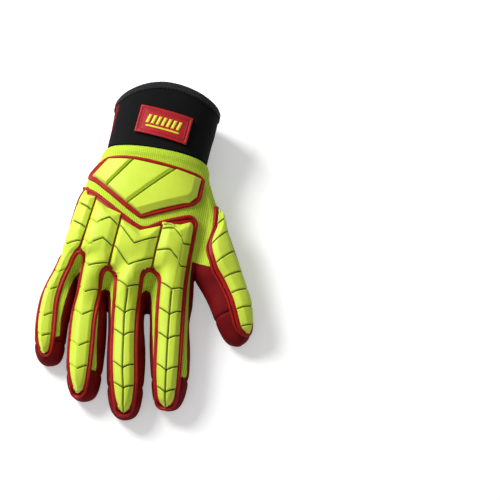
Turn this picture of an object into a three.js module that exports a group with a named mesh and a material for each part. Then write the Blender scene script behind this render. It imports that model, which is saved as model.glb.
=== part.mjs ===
import * as THREE from 'three';

// Impact glove for the right hand, lying palm down. Millimetres, +Z is up, the cuff
// points to +Y, the fingers to -Y and the thumb to +X.

const clearance = 0.3;
const fabricWall = 1.6;
const cuffWall = 2.6;
const guardLift = 0.5;
const flangeThickness = 1.1;
const padEdge = 1.2;
const padHeight = 3.4;
const padGroove = 1.0;
const borderWidth = 2.2;
const seamWidth = 0.65;

// Cross-sections of the hand from the cuff seam to the knuckles: the y of the section,
// its left and right edge, the height of the back and the squareness of the sides.
const palmRows = [
  { y: 72.6, left: -38.2, right: 37.8, top: 48.5, base: 2.6, square: 2.2 },
  { y: 55, left: -46.2, right: 43.5, top: 46.5, base: 0, square: 2.3 },
  { y: 35, left: -50.8, right: 49, top: 45.5, base: 0, square: 2.4 },
  { y: 11, left: -53.2, right: 47, top: 43, base: 0, square: 2.5 },
  { y: -9, left: -55, right: 43, top: 38.5, base: 0, square: 2.6 },
];

// The line where the fingers begin, in nine columns from the little finger to the index:
// the point on the back, the point half way down a crotch and the point on the palm.
const rootColumns = [
  { x: -56, y: -19, z: 19, midX: -59.5, midY: -21, midZ: 11, lowX: -56, lowY: -25, lowZ: 1.2 },
  { x: -50, y: -21, z: 26.5, lowX: -50, lowY: -32, lowZ: 0 },
  { x: -43.2, y: -23, z: 19, midX: -42.3, midY: -30, midZ: 11, lowX: -41.6, lowY: -36, lowZ: 2.4 },
  { x: -31.5, y: -30, z: 31, lowX: -31, lowY: -42, lowZ: 0 },
  { x: -18.8, y: -33, z: 21, midX: -17.6, midY: -40, midZ: 12, lowX: -16.4, lowY: -45.5, lowZ: 2.2 },
  { x: -4.5, y: -32, z: 33.5, lowX: -3, lowY: -45, lowZ: 0 },
  { x: 10.8, y: -29, z: 21, midX: 12.6, midY: -36, midZ: 12, lowX: 13.8, lowY: -42, lowZ: 2.2 },
  { x: 27.5, y: -28, z: 32.5, lowX: 29, lowY: -40, lowZ: 0 },
  { x: 42.2, y: -27, z: 22, midX: 45.4, midY: -30, midZ: 12, lowX: 43, lowY: -35, lowZ: 1.6 },
];

// Fingers: sections from the root to the tip, each with its centre, width and depth.
const fingers = [
  {
    name: 'little', roll: 12, tip: { x: -50.8, y: -97, z: 8 },
    rows: [
      { x: -53.2, y: -44, width: 23.0, depth: 24.0 },
      { x: -54.7, y: -62, width: 23.6, depth: 22.8 },
      { x: -53.6, y: -81, width: 22.8, depth: 20.8 },
      { x: -51.6, y: -92.5, width: 16.5, depth: 15.0 },
    ],
  },
  {
    name: 'ring', roll: 14, tip: { x: -20.4, y: -120.5, z: 9 },
    rows: [
      { x: -28.0, y: -54, width: 24.6, depth: 27.0 },
      { x: -26.5, y: -75, width: 27.6, depth: 25.6 },
      { x: -24.2, y: -100, width: 26.2, depth: 23.2 },
      { x: -21.6, y: -114.8, width: 19.0, depth: 16.8 },
    ],
  },
  {
    name: 'middle', roll: 10, tip: { x: 12.2, y: -129.5, z: 9 },
    rows: [
      { x: -0.8, y: -54, width: 26.4, depth: 28.0 },
      { x: 3.3, y: -76, width: 28.2, depth: 26.6 },
      { x: 7.8, y: -105, width: 27.0, depth: 23.8 },
      { x: 11.0, y: -123, width: 19.5, depth: 17.2 },
    ],
  },
  {
    name: 'index', roll: 7, tip: { x: 41.6, y: -117, z: 9 },
    rows: [
      { x: 31.6, y: -51, width: 29.4, depth: 28.5 },
      { x: 35.2, y: -70, width: 30.0, depth: 26.8 },
      { x: 39.4, y: -94, width: 27.6, depth: 24.0 },
      { x: 41.1, y: -110.5, width: 20.0, depth: 17.4 },
    ],
  },
];

// Thumb: where it leaves the hand, and its sections. Turn is the heading of the width.
const thumbRootBack = [
  { x: 41.5, y: 53, z: 34 },
  { x: 46.5, y: 33, z: 34 },
  { x: 45.5, y: 10, z: 31 },
  { x: 41.0, y: -9, z: 26 },
];
const thumbRootPalm = [
  { x: 44, y: 53, z: 2.5 },
  { x: 50, y: 30, z: 0 },
  { x: 49, y: 8, z: 0 },
  { x: 42, y: -12, z: 1.2 },
];
const thumbRootOuter = { x: 47.4, y: 51, z: 18 };
const thumbRootInner = { x: 43.2, y: -12.5, z: 14 };
const thumbRows = [
  { x: 55.5, y: 1.0, width: 38.0, depth: 33.0, turn: 55 },
  { x: 63.0, y: -11.5, width: 32.0, depth: 30.0, turn: 37 },
  { x: 70.0, y: -24.0, width: 28.4, depth: 27.5, turn: 31 },
  { x: 76.3, y: -36.0, width: 27.0, depth: 25.5, turn: 29 },
  { x: 82.8, y: -50.0, width: 20.5, depth: 19.0, turn: 26 },
];
const thumbTip = { x: 85.6, y: -57.0, z: 9.5 };

// Cuff: rings from the hand seam to the rim, and how far the rim is cut back at each side.
const cuffBase = 3.4;
const cuffRows = [
  { y: 73.2, centre: -0.2, half: 37.8, top: 48.5 },
  { y: 86, centre: 0.4, half: 37.9, top: 51 },
  { y: 99, centre: 1.0, half: 38.4, top: 54 },
  { y: 118.5, centre: 1.5, half: 39.0, top: 58 },
];
const rimHeight = { back: 4.5, palm: 0, thumbSide: -4.5, littleSide: -11 };
const cuffSegments = 30;
const cuffSquare = 2.25;
const bindingDepth = 4.2;
const bindingExtra = 0.7;
const gussetRim = { from: 152, to: 166 };
const gussetSeam = { from: 172, to: 177 };
const cuffSplit = -4;

// Badge on the back of the cuff, and the pull tab stack under it.
const badge = {
  x: 2.0, y: 91.2, width: 39, height: 20.5, turn: -5.5,
  thickness: 1.5, rim: 1.6, rimHeight: 0.6,
};
const tab = { x: 7, width: 30, thickness: 1.1, beyond: 8.5 };
const patch = { width: 31, height: 12.6, thickness: 0.9, gap: 0.6 };
const plate = { width: patch.width, height: 12.2, thickness: 1.5 };

// Straight seams between the guard strips on the back: x at y = 0 and its change per y.
const dividers = [
  { x: -42.4, slope: 0.157 },
  { x: -18.0, slope: 0.088 },
  { x: 13.3, slope: 0.071 },
];

// Guard strips over the four fingers. Every row lies on a groove: the point of the groove,
// the reach of the flange to both sides, how far its two arms climb to the wrist and its
// tilt. The first three rows end on the seams that they share with the next strip.
const sharedRows = 2;
const strips = [
  {
    name: 'little',
    rows: [
      { x: -43.4, y: 34.5, z: 35, left: 6.6, right: 6, climbLeft: 4.5, climbRight: -3.5, tilt: 12 },
      { x: -47.0, y: 19, z: 34, left: 7.6, right: 7, climbLeft: 4, climbRight: 3, tilt: 16 },
      { x: -49.0, y: 5, z: 32, left: 7.8, right: 7, climbLeft: 4, climbRight: 3, tilt: 20 },
      { x: -51.6, y: -8, z: 29, left: 8.0, right: 6.6, climbLeft: 4, climbRight: 3, tilt: 24 },
      { x: -56.6, y: -25, z: 26, left: 8.2, right: 6.0, climbLeft: 4, climbRight: 4, tilt: 30 },
      { x: -59.4, y: -42, z: 24, left: 8.4, right: 7.2, climbLeft: 4, climbRight: 4, tilt: 30 },
      { x: -60.6, y: -60, z: 22, left: 8.2, right: 7.4, climbLeft: 4, climbRight: 4, tilt: 30 },
      { x: -59.6, y: -75, z: 20, left: 7.2, right: 6.8, climbLeft: 3, climbRight: 3, tilt: 30 },
      { x: -56.8, y: -87, z: 16, left: 3.8, right: 3.8, climbLeft: 1.5, climbRight: 1.5, tilt: 28 },
    ],
  },
  {
    name: 'ring',
    rows: [
      { x: -27.0, y: 24.6, z: 44, left: 10, right: 10, climbLeft: 6.4, climbRight: -6, tilt: 0 },
      { x: -30.6, y: 9, z: 42, left: 10, right: 12, climbLeft: 4, climbRight: 5, tilt: 0 },
      { x: -33.0, y: -7, z: 38, left: 10, right: 13, climbLeft: 4, climbRight: 5, tilt: 4 },
      { x: -33.8, y: -23, z: 34, left: 7.0, right: 8.6, climbLeft: 4.5, climbRight: 4.5, tilt: 14 },
      { x: -34.2, y: -41, z: 31, left: 7.6, right: 9.6, climbLeft: 5, climbRight: 5, tilt: 22 },
      { x: -33.2, y: -59, z: 28, left: 9.2, right: 9.4, climbLeft: 5, climbRight: 5, tilt: 22 },
      { x: -31.5, y: -82, z: 26, left: 9.6, right: 9.0, climbLeft: 5, climbRight: 5, tilt: 22 },
      { x: -29.6, y: -99, z: 23, left: 8.6, right: 8.2, climbLeft: 4, climbRight: 4, tilt: 22 },
      { x: -25.6, y: -113.5, z: 17, left: 4.2, right: 4.2, climbLeft: 2, climbRight: 2, tilt: 18 },
    ],
  },
  {
    name: 'middle',
    rows: [
      { x: -0.6, y: 10.4, z: 44, left: 16, right: 14, climbLeft: 6.4, climbRight: 6.4, tilt: 0 },
      { x: -3.4, y: -3, z: 42, left: 14, right: 16, climbLeft: 6.4, climbRight: 5, tilt: 0 },
      { x: -4.2, y: -18.5, z: 39, left: 14, right: 15, climbLeft: 6, climbRight: 5, tilt: 0 },
      { x: -3.4, y: -34.5, z: 35, left: 10.0, right: 10.6, climbLeft: 5, climbRight: 5, tilt: 6 },
      { x: -2.2, y: -54, z: 32, left: 10.8, right: 10.4, climbLeft: 5, climbRight: 5, tilt: 10 },
      { x: 0.0, y: -71.4, z: 30, left: 10.8, right: 10.4, climbLeft: 5, climbRight: 5, tilt: 11 },
      { x: 3.6, y: -94, z: 27, left: 10.8, right: 10.0, climbLeft: 5, climbRight: 5, tilt: 11 },
      { x: 6.6, y: -110, z: 24, left: 9.0, right: 8.8, climbLeft: 4, climbRight: 4, tilt: 10 },
      { x: 9.6, y: -122.5, z: 18, left: 4.8, right: 4.8, climbLeft: 2, climbRight: 2, tilt: 6 },
    ],
  },
  {
    name: 'index',
    rows: [
      { x: 27.0, y: 21.5, z: 41, left: 12, right: 12.2, climbLeft: -4.2, climbRight: 4, tilt: 0 },
      { x: 29.4, y: 4, z: 40, left: 16, right: 10.2, climbLeft: 6, climbRight: 3.5, tilt: 0 },
      { x: 30.0, y: -12.3, z: 37, left: 17, right: 9.8, climbLeft: 5, climbRight: 3.5, tilt: 0 },
      { x: 29.8, y: -29, z: 33, left: 11.4, right: 10.6, climbLeft: 5, climbRight: 4, tilt: 3 },
      { x: 31.4, y: -48.4, z: 31, left: 11.0, right: 10.6, climbLeft: 5, climbRight: 5, tilt: 6 },
      { x: 33.4, y: -66.4, z: 29, left: 10.6, right: 10.6, climbLeft: 5, climbRight: 5, tilt: 6 },
      { x: 36.6, y: -89, z: 26, left: 9.8, right: 9.8, climbLeft: 5, climbRight: 5, tilt: 6 },
      { x: 38.4, y: -102.5, z: 23, left: 8.2, right: 8.0, climbLeft: 4, climbRight: 4, tilt: 5 },
      { x: 40.0, y: -112, z: 18, left: 4.6, right: 4.6, climbLeft: 2, climbRight: 2, tilt: 2 },
    ],
  },
];

// Guard over the thumb: each row has a point, the reach to both sides and its lean.
const thumbStrip = {
  rows: [
    { x: 50.2, y: 41.5, z: 30, inner: 3.0, outer: 3.0, lean: 52, turn: 62 },
    { x: 56.0, y: 29.5, z: 30, inner: 7.2, outer: 6.5, lean: 50, turn: 58 },
    { x: 58.6, y: 18, z: 31, inner: 11.4, outer: 8.5, lean: 44, turn: 56 },
    { x: 64.6, y: 3, z: 29, inner: 12.0, outer: 9.0, lean: 44, turn: 50 },
    { x: 71.6, y: -9.5, z: 26, inner: 10.0, outer: 9.0, lean: 46, turn: 37 },
    { x: 77.4, y: -21.5, z: 23, inner: 9.2, outer: 9.0, lean: 48, turn: 31 },
    { x: 83.0, y: -33, z: 21, inner: 8.8, outer: 8.4, lean: 50, turn: 29 },
    { x: 87.6, y: -44.5, z: 18, inner: 6.8, outer: 6.4, lean: 50, turn: 26 },
    { x: 89.2, y: -50.5, z: 15, inner: 3.0, outer: 3.0, lean: 46, turn: 24 },
  ],
};

// Guard over the wrist: y of the flange edges along x, and the corners of its three pads.
const wristFlange = [
  { x: -47.2, top: 49.0, bottom: 45.6 },
  { x: -42, top: 56.2, bottom: 42.4 },
  { x: -35.5, top: 62.6, bottom: 37.6 },
  { x: -26, top: 63.8, bottom: 31.0 },
  { x: -14, top: 63.9, bottom: 23.2 },
  { x: -2.5, top: 63.2, bottom: 17.0 },
  { x: 12, top: 61.9, bottom: 23.6 },
  { x: 25, top: 61.2, bottom: 30.0 },
  { x: 34, top: 60.6, bottom: 34.6 },
  { x: 39, top: 58.0, bottom: 41.0 },
];
const wristPads = [
  {
    name: 'wrist_pad_little_side',
    lower: [[-43.6, 46.8], [-34.6, 60.2]],
    upper: [[-32.4, 39.2], [-16.4, 61.6]],
  },
  {
    name: 'wrist_pad_middle',
    lower: [[-30.6, 37.8], [-13.4, 61.6]],
    upper: [[-15.4, 27.6], [15.2, 59.4]],
  },
  {
    name: 'wrist_pad_thumb_side',
    lower: [[-12.4, 26.0], [-6, 32.8], [12, 51.8], [18.4, 58.9]],
    upper: [[-2.6, 19.8], [31.6, 36.4], [35.6, 42.0], [36.2, 57.4]],
  },
];

const colours = {
  knit: 0xc9ea2f,
  guard: 0xcdf03a,
  flange: 0xb01a16,
  leather: 0xb5161c,
  side: 0xc21f22,
  neoprene: 0x141517,
  badge: 0xc32026,
  webbing: 0x1b1b1d,
  reflective: 0xe4e5ea,
  plate: 0x77777a,
};

const degrees = Math.PI / 180;
const fullTurn = 360;

function vec(x, y, z) {
  return new THREE.Vector3(x, y, z);
}

function mix(a, b, t) {
  return a + (b - a) * t;
}

function pointOf(entry) {
  return vec(entry.x, entry.y, entry.z);
}

function sectionPoint(angle, halfWidth, halfDepth, square) {
  const c = Math.cos(angle);
  const s = Math.sin(angle);
  const reach = Math.pow(Math.abs(c), square) + Math.pow(Math.abs(s), square);
  const radius = Math.pow(reach, -1 / square);
  return [halfWidth * c * radius, halfDepth * s * radius];
}

// The hand as a net of four-sided faces.

const points = [];
const faces = [];

function addPoint(target) {
  points.push(target.clone());
  return points.length - 1;
}

function addFace(corners, panel) {
  faces.push({ corners, panel });
}

// Nine columns over the back and the palm with one point at either side.
function palmRing(row) {
  const centre = (row.left + row.right) / 2;
  const half = (row.right - row.left) / 2;
  const middle = mix(row.base, row.top, 0.44);
  const ring = { back: [], palm: [], little: null, thumb: null };
  for (let k = 0; k <= 8; k += 1) {
    const spread = Math.sin((k / 8 - 0.5) * 2 * 1.12) / Math.sin(1.12) * 0.9;
    const x = centre + half * spread;
    const rise = Math.pow(1 - Math.pow(Math.abs(spread), row.square), 1 / row.square);
    const sag = Math.pow(1 - Math.pow(Math.abs(spread), 3.4), 1 / 3.4);
    ring.back.push(addPoint(vec(x, row.y, middle + (row.top - middle) * rise)));
    ring.palm.push(addPoint(vec(x, row.y, middle - (middle - row.base) * sag)));
  }
  ring.little = addPoint(vec(row.left, row.y, middle));
  ring.thumb = addPoint(vec(row.right, row.y, middle));
  return ring;
}

const palmRings = palmRows.map(palmRing);
thumbRootBack.forEach((entry, index) => {
  points[palmRings[index + 1].back[8]].copy(pointOf(entry));
});
thumbRootPalm.forEach((entry, index) => {
  points[palmRings[index + 1].palm[8]].copy(pointOf(entry));
});
points[palmRings[1].thumb].copy(pointOf(thumbRootOuter));
points[palmRings[4].thumb].copy(pointOf(thumbRootInner));

const rootRing = { back: [], palm: [], mid: [] };
rootColumns.forEach((column) => {
  rootRing.back.push(addPoint(vec(column.x, column.y, column.z)));
  rootRing.palm.push(addPoint(vec(column.lowX, column.lowY, column.lowZ)));
  rootRing.mid.push(column.midX === undefined ? -1
    : addPoint(vec(column.midX, column.midY, column.midZ)));
});
rootRing.little = rootRing.mid[0];
rootRing.thumb = rootRing.mid[8];

const handRings = [...palmRings, rootRing];
for (let s = 0; s < handRings.length - 1; s += 1) {
  const here = handRings[s];
  const next = handRings[s + 1];
  for (let k = 0; k < 8; k += 1) {
    addFace([here.back[k], next.back[k], next.back[k + 1], here.back[k + 1]], 'back_panel');
    addFace([here.palm[k + 1], next.palm[k + 1], next.palm[k], here.palm[k]], 'palm_panel');
  }
  const last = s === handRings.length - 2;
  const outer = last ? 'side_little' : 'back_panel';
  addFace([here.little, next.little, next.back[0], here.back[0]], outer);
  addFace([here.palm[0], next.palm[0], next.little, here.little], outer);
  if (s === 0 || last) {
    const inner = last ? 'side_index' : 'back_panel';
    addFace([here.back[8], next.back[8], next.thumb, here.thumb], inner);
    addFace([here.thumb, next.thumb, next.palm[8], here.palm[8]], inner);
  }
}

// Rings of a finger: eight points, first on the back towards the little finger.
const fingerAngles = [135, 90, 45, 0, -45, -90, -135, 180];

function fingerRing(row, before, after, roll) {
  const ahead = vec(after.x - before.x, after.y - before.y, 0).normalize();
  const across = vec(-ahead.y, ahead.x, 0);
  return fingerAngles.map((angle) => {
    const [u, v] = sectionPoint((angle + roll) * degrees, row.width / 2, row.depth / 2, 2.3);
    const height = Math.max(row.depth / 2 + v, 0);
    return addPoint(vec(row.x + across.x * u, row.y + across.y * u, height));
  });
}

const fingerPanels = [
  ['side_little', 'fourchette_little_ring'],
  ['fourchette_little_ring', 'fourchette_ring_middle'],
  ['fourchette_ring_middle', 'fourchette_middle_index'],
  ['fourchette_middle_index', 'side_index'],
];

fingers.forEach((finger, index) => {
  const k = 2 * index;
  const panels = fingerPanels[index];
  let ring = [
    rootRing.back[k], rootRing.back[k + 1], rootRing.back[k + 2], rootRing.mid[k + 2],
    rootRing.palm[k + 2], rootRing.palm[k + 1], rootRing.palm[k], rootRing.mid[k],
  ];
  const sectors = ['back_panel', 'back_panel', panels[1], panels[1],
    'palm_panel', 'palm_panel', panels[0], panels[0]];
  const rootCentre = { x: rootColumns[k + 1].x, y: rootColumns[k + 1].y };
  finger.rows.forEach((row, place) => {
    const before = place === 0 ? rootCentre : finger.rows[place - 1];
    const after = place === finger.rows.length - 1 ? finger.tip : finger.rows[place + 1];
    const next = fingerRing(row, before, after, finger.roll);
    const capped = place === finger.rows.length - 1;
    for (let n = 0; n < 8; n += 1) {
      const m = (n + 1) % 8;
      const panel = capped ? `${finger.name}_cap` : sectors[n];
      addFace([ring[n], next[n], next[m], ring[m]], panel);
    }
    ring = next;
  });
  const tip = addPoint(pointOf(finger.tip));
  const cap = `${finger.name}_cap`;
  addFace([ring[0], ring[7], tip, ring[1]], cap);
  addFace([ring[1], tip, ring[3], ring[2]], cap);
  addFace([tip, ring[5], ring[4], ring[3]], cap);
  addFace([ring[7], ring[6], ring[5], tip], cap);
});

// Rings of the thumb: ten points, first on the back at the outer side.
const thumbAngles = [38, 72, 108, 142, 180, -142, -108, -72, -38, 0];
{
  let ring = [
    palmRings[1].back[8], palmRings[2].back[8], palmRings[3].back[8], palmRings[4].back[8],
    palmRings[4].thumb, palmRings[4].palm[8], palmRings[3].palm[8], palmRings[2].palm[8],
    palmRings[1].palm[8], palmRings[1].thumb,
  ];
  const sectors = ['back_panel', 'side_thumb', 'side_thumb', 'side_thumb', 'side_thumb',
    'palm_panel', 'palm_panel', 'palm_panel', 'back_panel', 'back_panel'];
  thumbRows.forEach((row, place) => {
    const across = vec(Math.cos(row.turn * degrees), Math.sin(row.turn * degrees), 0);
    const next = thumbAngles.map((angle) => {
      const [u, v] = sectionPoint(angle * degrees, row.width / 2, row.depth / 2, 2.3);
      const height = Math.max(row.depth / 2 + v, 0);
      return addPoint(vec(row.x + across.x * u, row.y + across.y * u, height));
    });
    const capped = place === thumbRows.length - 1;
    for (let n = 0; n < 10; n += 1) {
      const m = (n + 1) % 10;
      addFace([ring[n], ring[m], next[m], next[n]], capped ? 'thumb_cap' : sectors[n]);
    }
    ring = next;
  });
  const lastRow = thumbRows[thumbRows.length - 1];
  const heading = vec(Math.cos(lastRow.turn * degrees), Math.sin(lastRow.turn * degrees), 0);
  const tipOuter = addPoint(pointOf(thumbTip).addScaledVector(heading, lastRow.width * 0.12));
  const tipInner = addPoint(pointOf(thumbTip).addScaledVector(heading, -lastRow.width * 0.12));
  addFace([ring[9], ring[0], ring[1], tipOuter], 'thumb_cap');
  addFace([ring[1], ring[2], tipInner, tipOuter], 'thumb_cap');
  addFace([ring[2], ring[3], ring[4], tipInner], 'thumb_cap');
  addFace([tipInner, ring[4], ring[5], ring[6]], 'thumb_cap');
  addFace([tipOuter, tipInner, ring[6], ring[7]], 'thumb_cap');
  addFace([ring[9], tipOuter, ring[7], ring[8]], 'thumb_cap');
}

// Smooth surface through the net.

function neighbours(count, quads) {
  const around = Array.from({ length: count }, () => ({ edges: new Map(), corners: [] }));
  quads.forEach(({ corners }) => {
    for (let n = 0; n < 4; n += 1) {
      const here = corners[n];
      const next = corners[(n + 1) % 4];
      around[here].corners.push(corners[(n + 2) % 4]);
      around[here].edges.set(next, (around[here].edges.get(next) || 0) + 1);
      around[next].edges.set(here, (around[next].edges.get(here) || 0) + 1);
    }
  });
  return around;
}

function settled(positions, around) {
  return positions.map((position, index) => {
    const { edges, corners } = around[index];
    const rim = [...edges].filter(([, uses]) => uses === 1).map(([other]) => other);
    const result = vec(0, 0, 0);
    if (rim.length > 0) {
      result.addScaledVector(position, 4);
      rim.forEach((other) => result.add(positions[other]));
      return result.divideScalar(4 + rim.length);
    }
    const valence = edges.size;
    result.addScaledVector(position, valence * valence);
    [...edges.keys()].forEach((other) => result.addScaledVector(positions[other], 4));
    corners.forEach((other) => result.add(positions[other]));
    return result.divideScalar(valence * (valence + 5));
  });
}

function refine(positions, quads) {
  const around = neighbours(positions.length, quads);
  const centres = quads.map(({ corners }) => {
    const centre = vec(0, 0, 0);
    corners.forEach((corner) => centre.add(positions[corner]));
    return centre.divideScalar(4);
  });
  const edgeFaces = new Map();
  const edgeKey = (a, b) => (a < b ? `${a}_${b}` : `${b}_${a}`);
  quads.forEach(({ corners }, face) => {
    for (let n = 0; n < 4; n += 1) {
      const key = edgeKey(corners[n], corners[(n + 1) % 4]);
      if (!edgeFaces.has(key)) {
        edgeFaces.set(key, { ends: [corners[n], corners[(n + 1) % 4]], faces: [] });
      }
      edgeFaces.get(key).faces.push(face);
    }
  });
  const fresh = positions.map((position, index) => {
    const { edges } = around[index];
    const rim = [...edges].filter(([, uses]) => uses === 1).map(([other]) => other);
    if (rim.length > 0) {
      const moved = position.clone().multiplyScalar(6);
      rim.forEach((other) => moved.add(positions[other]));
      return moved.divideScalar(6 + rim.length);
    }
    return null;
  });
  const touching = positions.map(() => []);
  quads.forEach(({ corners }, face) => corners.forEach((corner) => touching[corner].push(face)));
  positions.forEach((position, index) => {
    if (fresh[index]) {
      return;
    }
    const { edges } = around[index];
    const valence = edges.size;
    const faceMean = vec(0, 0, 0);
    touching[index].forEach((face) => faceMean.add(centres[face]));
    faceMean.divideScalar(valence);
    const edgeMean = vec(0, 0, 0);
    [...edges.keys()].forEach((other) => edgeMean.add(positions[other]).add(position));
    edgeMean.divideScalar(2 * valence);
    fresh[index] = faceMean.addScaledVector(edgeMean, 2)
      .addScaledVector(position, valence - 3).divideScalar(valence);
  });
  const centreIndex = centres.map((centre) => {
    fresh.push(centre);
    return fresh.length - 1;
  });
  const edgeIndex = new Map();
  edgeFaces.forEach((edge, key) => {
    const middle = positions[edge.ends[0]].clone().add(positions[edge.ends[1]]);
    if (edge.faces.length === 2) {
      middle.add(centres[edge.faces[0]]).add(centres[edge.faces[1]]).divideScalar(4);
    } else {
      middle.divideScalar(2);
    }
    fresh.push(middle);
    edgeIndex.set(key, fresh.length - 1);
  });
  const finer = [];
  quads.forEach(({ corners, panel }, face) => {
    for (let n = 0; n < 4; n += 1) {
      const after = edgeIndex.get(edgeKey(corners[n], corners[(n + 1) % 4]));
      const prior = edgeIndex.get(edgeKey(corners[n], corners[(n + 3) % 4]));
      finer.push({ corners: [corners[n], after, centreIndex[face], prior], panel });
    }
  });
  return { positions: fresh, quads: finer };
}

const netAround = neighbours(points.length, faces);
let net = points.map((point) => point.clone());
for (let pass = 0; pass < 12; pass += 1) {
  const reached = settled(net, netAround);
  net = net.map((point, index) => point.clone().add(points[index]).sub(reached[index]));
}
const fine = refine(net, faces);
const fineAround = neighbours(fine.positions.length, fine.quads);
const skin = settled(fine.positions, fineAround);
skin.forEach((point) => {
  point.z = Math.max(point.z, 0);
});

function meanNormals(positions, quads) {
  const normals = positions.map(() => vec(0, 0, 0));
  quads.forEach(({ corners }) => {
    const one = positions[corners[2]].clone().sub(positions[corners[0]]);
    const two = positions[corners[3]].clone().sub(positions[corners[1]]);
    const normal = one.cross(two);
    corners.forEach((corner) => normals[corner].add(normal));
  });
  return normals.map((normal) => normal.normalize());
}

const skinNormals = meanNormals(skin, fine.quads);
let wallNormals = skinNormals;
for (let pass = 0; pass < 2; pass += 1) {
  wallNormals = wallNormals.map((normal, index) => {
    const sum = normal.clone().multiplyScalar(2);
    [...fineAround[index].edges.keys()].forEach((other) => sum.add(wallNormals[other]));
    return sum.normalize();
  });
}

// Closed bodies.

function meshFrom(name, triangles, colour) {
  const geometry = new THREE.BufferGeometry();
  const flat = [];
  triangles.forEach((triangle) => triangle.forEach((p) => flat.push(p.x, p.y, p.z)));
  geometry.setAttribute('position', new THREE.Float32BufferAttribute(flat, 3));
  geometry.computeVertexNormals();
  const material = new THREE.MeshStandardMaterial({ color: colour, roughness: 0.7 });
  const mesh = new THREE.Mesh(geometry, material);
  mesh.name = name;
  return mesh;
}

// A panel of the hand: its outside, the same surface one wall further in and the cut edges.
function panelBody(panel, colour, wall) {
  const own = fine.quads.filter((quad) => quad.panel === panel);
  const edgeUse = new Map();
  own.forEach(({ corners }) => {
    for (let n = 0; n < 4; n += 1) {
      edgeUse.set(`${corners[n]}_${corners[(n + 1) % 4]}`, [corners[n], corners[(n + 1) % 4]]);
    }
  });
  const rim = [...edgeUse.values()].filter(([a, b]) => !edgeUse.has(`${b}_${a}`));
  const pull = new Map();
  rim.forEach(([a, b]) => {
    const along = skin[b].clone().sub(skin[a]).normalize();
    [a, b].forEach((corner) => {
      const inward = skinNormals[corner].clone().cross(along).normalize();
      if (!pull.has(corner)) {
        pull.set(corner, []);
      }
      pull.get(corner).push(inward);
    });
  });
  const outside = new Map();
  const inside = new Map();
  own.forEach(({ corners }) => corners.forEach((corner) => {
    if (outside.has(corner)) {
      return;
    }
    const place = skin[corner].clone();
    const tuck = vec(0, 0, 0);
    if (pull.has(corner)) {
      const ways = pull.get(corner);
      const mean = ways.reduce((sum, way) => sum.add(way), vec(0, 0, 0)).normalize();
      const spread = Math.max(mean.dot(ways[0]), 0.2);
      place.addScaledVector(mean, clearance / 2 / spread);
      if (spread < 0.8) {
        place.addScaledVector(mean, clearance * 2);
        tuck.addScaledVector(mean, clearance * 8);
      }
    }
    outside.set(corner, place);
    inside.set(corner, place.clone().addScaledVector(wallNormals[corner], -wall).add(tuck));
  }));
  const triangles = [];
  own.forEach(({ corners: [a, b, c, d] }) => {
    const o = [a, b, c, d].map((corner) => outside.get(corner));
    const i = [a, b, c, d].map((corner) => inside.get(corner));
    triangles.push([o[0], o[1], o[2]], [o[0], o[2], o[3]]);
    triangles.push([i[0], i[2], i[1]], [i[0], i[3], i[2]]);
  });
  rim.forEach(([a, b]) => {
    triangles.push([outside.get(b), outside.get(a), inside.get(a)]);
    triangles.push([outside.get(b), inside.get(a), inside.get(b)]);
  });
  return meshFrom(panel, triangles, colour);
}

// A grid of points closed by a second grid: rows of outer points over rows of inner ones.
function gridBody(name, outer, inner, colour, closedRows = false) {
  const rows = outer.length;
  const columns = outer[0].length;
  const triangles = [];
  const lastRow = closedRows ? rows : rows - 1;
  for (let r = 0; r < lastRow; r += 1) {
    const s = (r + 1) % rows;
    for (let c = 0; c < columns - 1; c += 1) {
      triangles.push([outer[r][c], outer[s][c + 1], outer[r][c + 1]]);
      triangles.push([outer[r][c], outer[s][c], outer[s][c + 1]]);
      triangles.push([inner[r][c], inner[r][c + 1], inner[s][c + 1]]);
      triangles.push([inner[r][c], inner[s][c + 1], inner[s][c]]);
    }
    const e = columns - 1;
    triangles.push([outer[r][0], inner[s][0], outer[s][0]]);
    triangles.push([outer[r][0], inner[r][0], inner[s][0]]);
    triangles.push([outer[s][e], inner[r][e], outer[r][e]]);
    triangles.push([outer[s][e], inner[s][e], inner[r][e]]);
  }
  if (!closedRows) {
    for (let c = 0; c < columns - 1; c += 1) {
      const z = rows - 1;
      triangles.push([outer[0][c + 1], inner[0][c], outer[0][c]]);
      triangles.push([outer[0][c + 1], inner[0][c + 1], inner[0][c]]);
      triangles.push([outer[z][c], inner[z][c + 1], outer[z][c + 1]]);
      triangles.push([outer[z][c], inner[z][c], inner[z][c + 1]]);
    }
  }
  return meshFrom(name, triangles, colour);
}

// Draping on the hand.

const skinTriangles = [];
fine.quads.forEach(({ corners: [a, b, c, d] }) => {
  skinTriangles.push([skin[a], skin[b], skin[c]], [skin[a], skin[c], skin[d]]);
});
const skinMesh = meshFrom('skin', skinTriangles, 0xffffff);
skinMesh.material.side = THREE.DoubleSide;
skinMesh.updateMatrixWorld(true);
const caster = new THREE.Raycaster();

function dropOn(targets, through, way) {
  caster.set(through.clone().addScaledVector(way, 70), way.clone().negate());
  const hits = caster.intersectObjects(targets, false);
  return hits.length > 0 ? hits[0].point.clone() : null;
}

// Normals of a grid of points from its own rows and columns.
function gridNormals(grid) {
  return grid.map((row, r) => row.map((point, c) => {
    const right = row[Math.min(c + 1, row.length - 1)];
    const left = row[Math.max(c - 1, 0)];
    const above = grid[Math.max(r - 1, 0)][c];
    const below = grid[Math.min(r + 1, grid.length - 1)][c];
    const across = right.clone().sub(left);
    const along = above.clone().sub(below);
    return across.cross(along).normalize();
  }));
}

function raised(grid, normals, height) {
  return grid.map((row, r) => row.map((point, c) => {
    const lift = typeof height === 'function' ? height(r, c) : height;
    return point.clone().addScaledVector(normals[r][c], lift);
  }));
}

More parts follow.
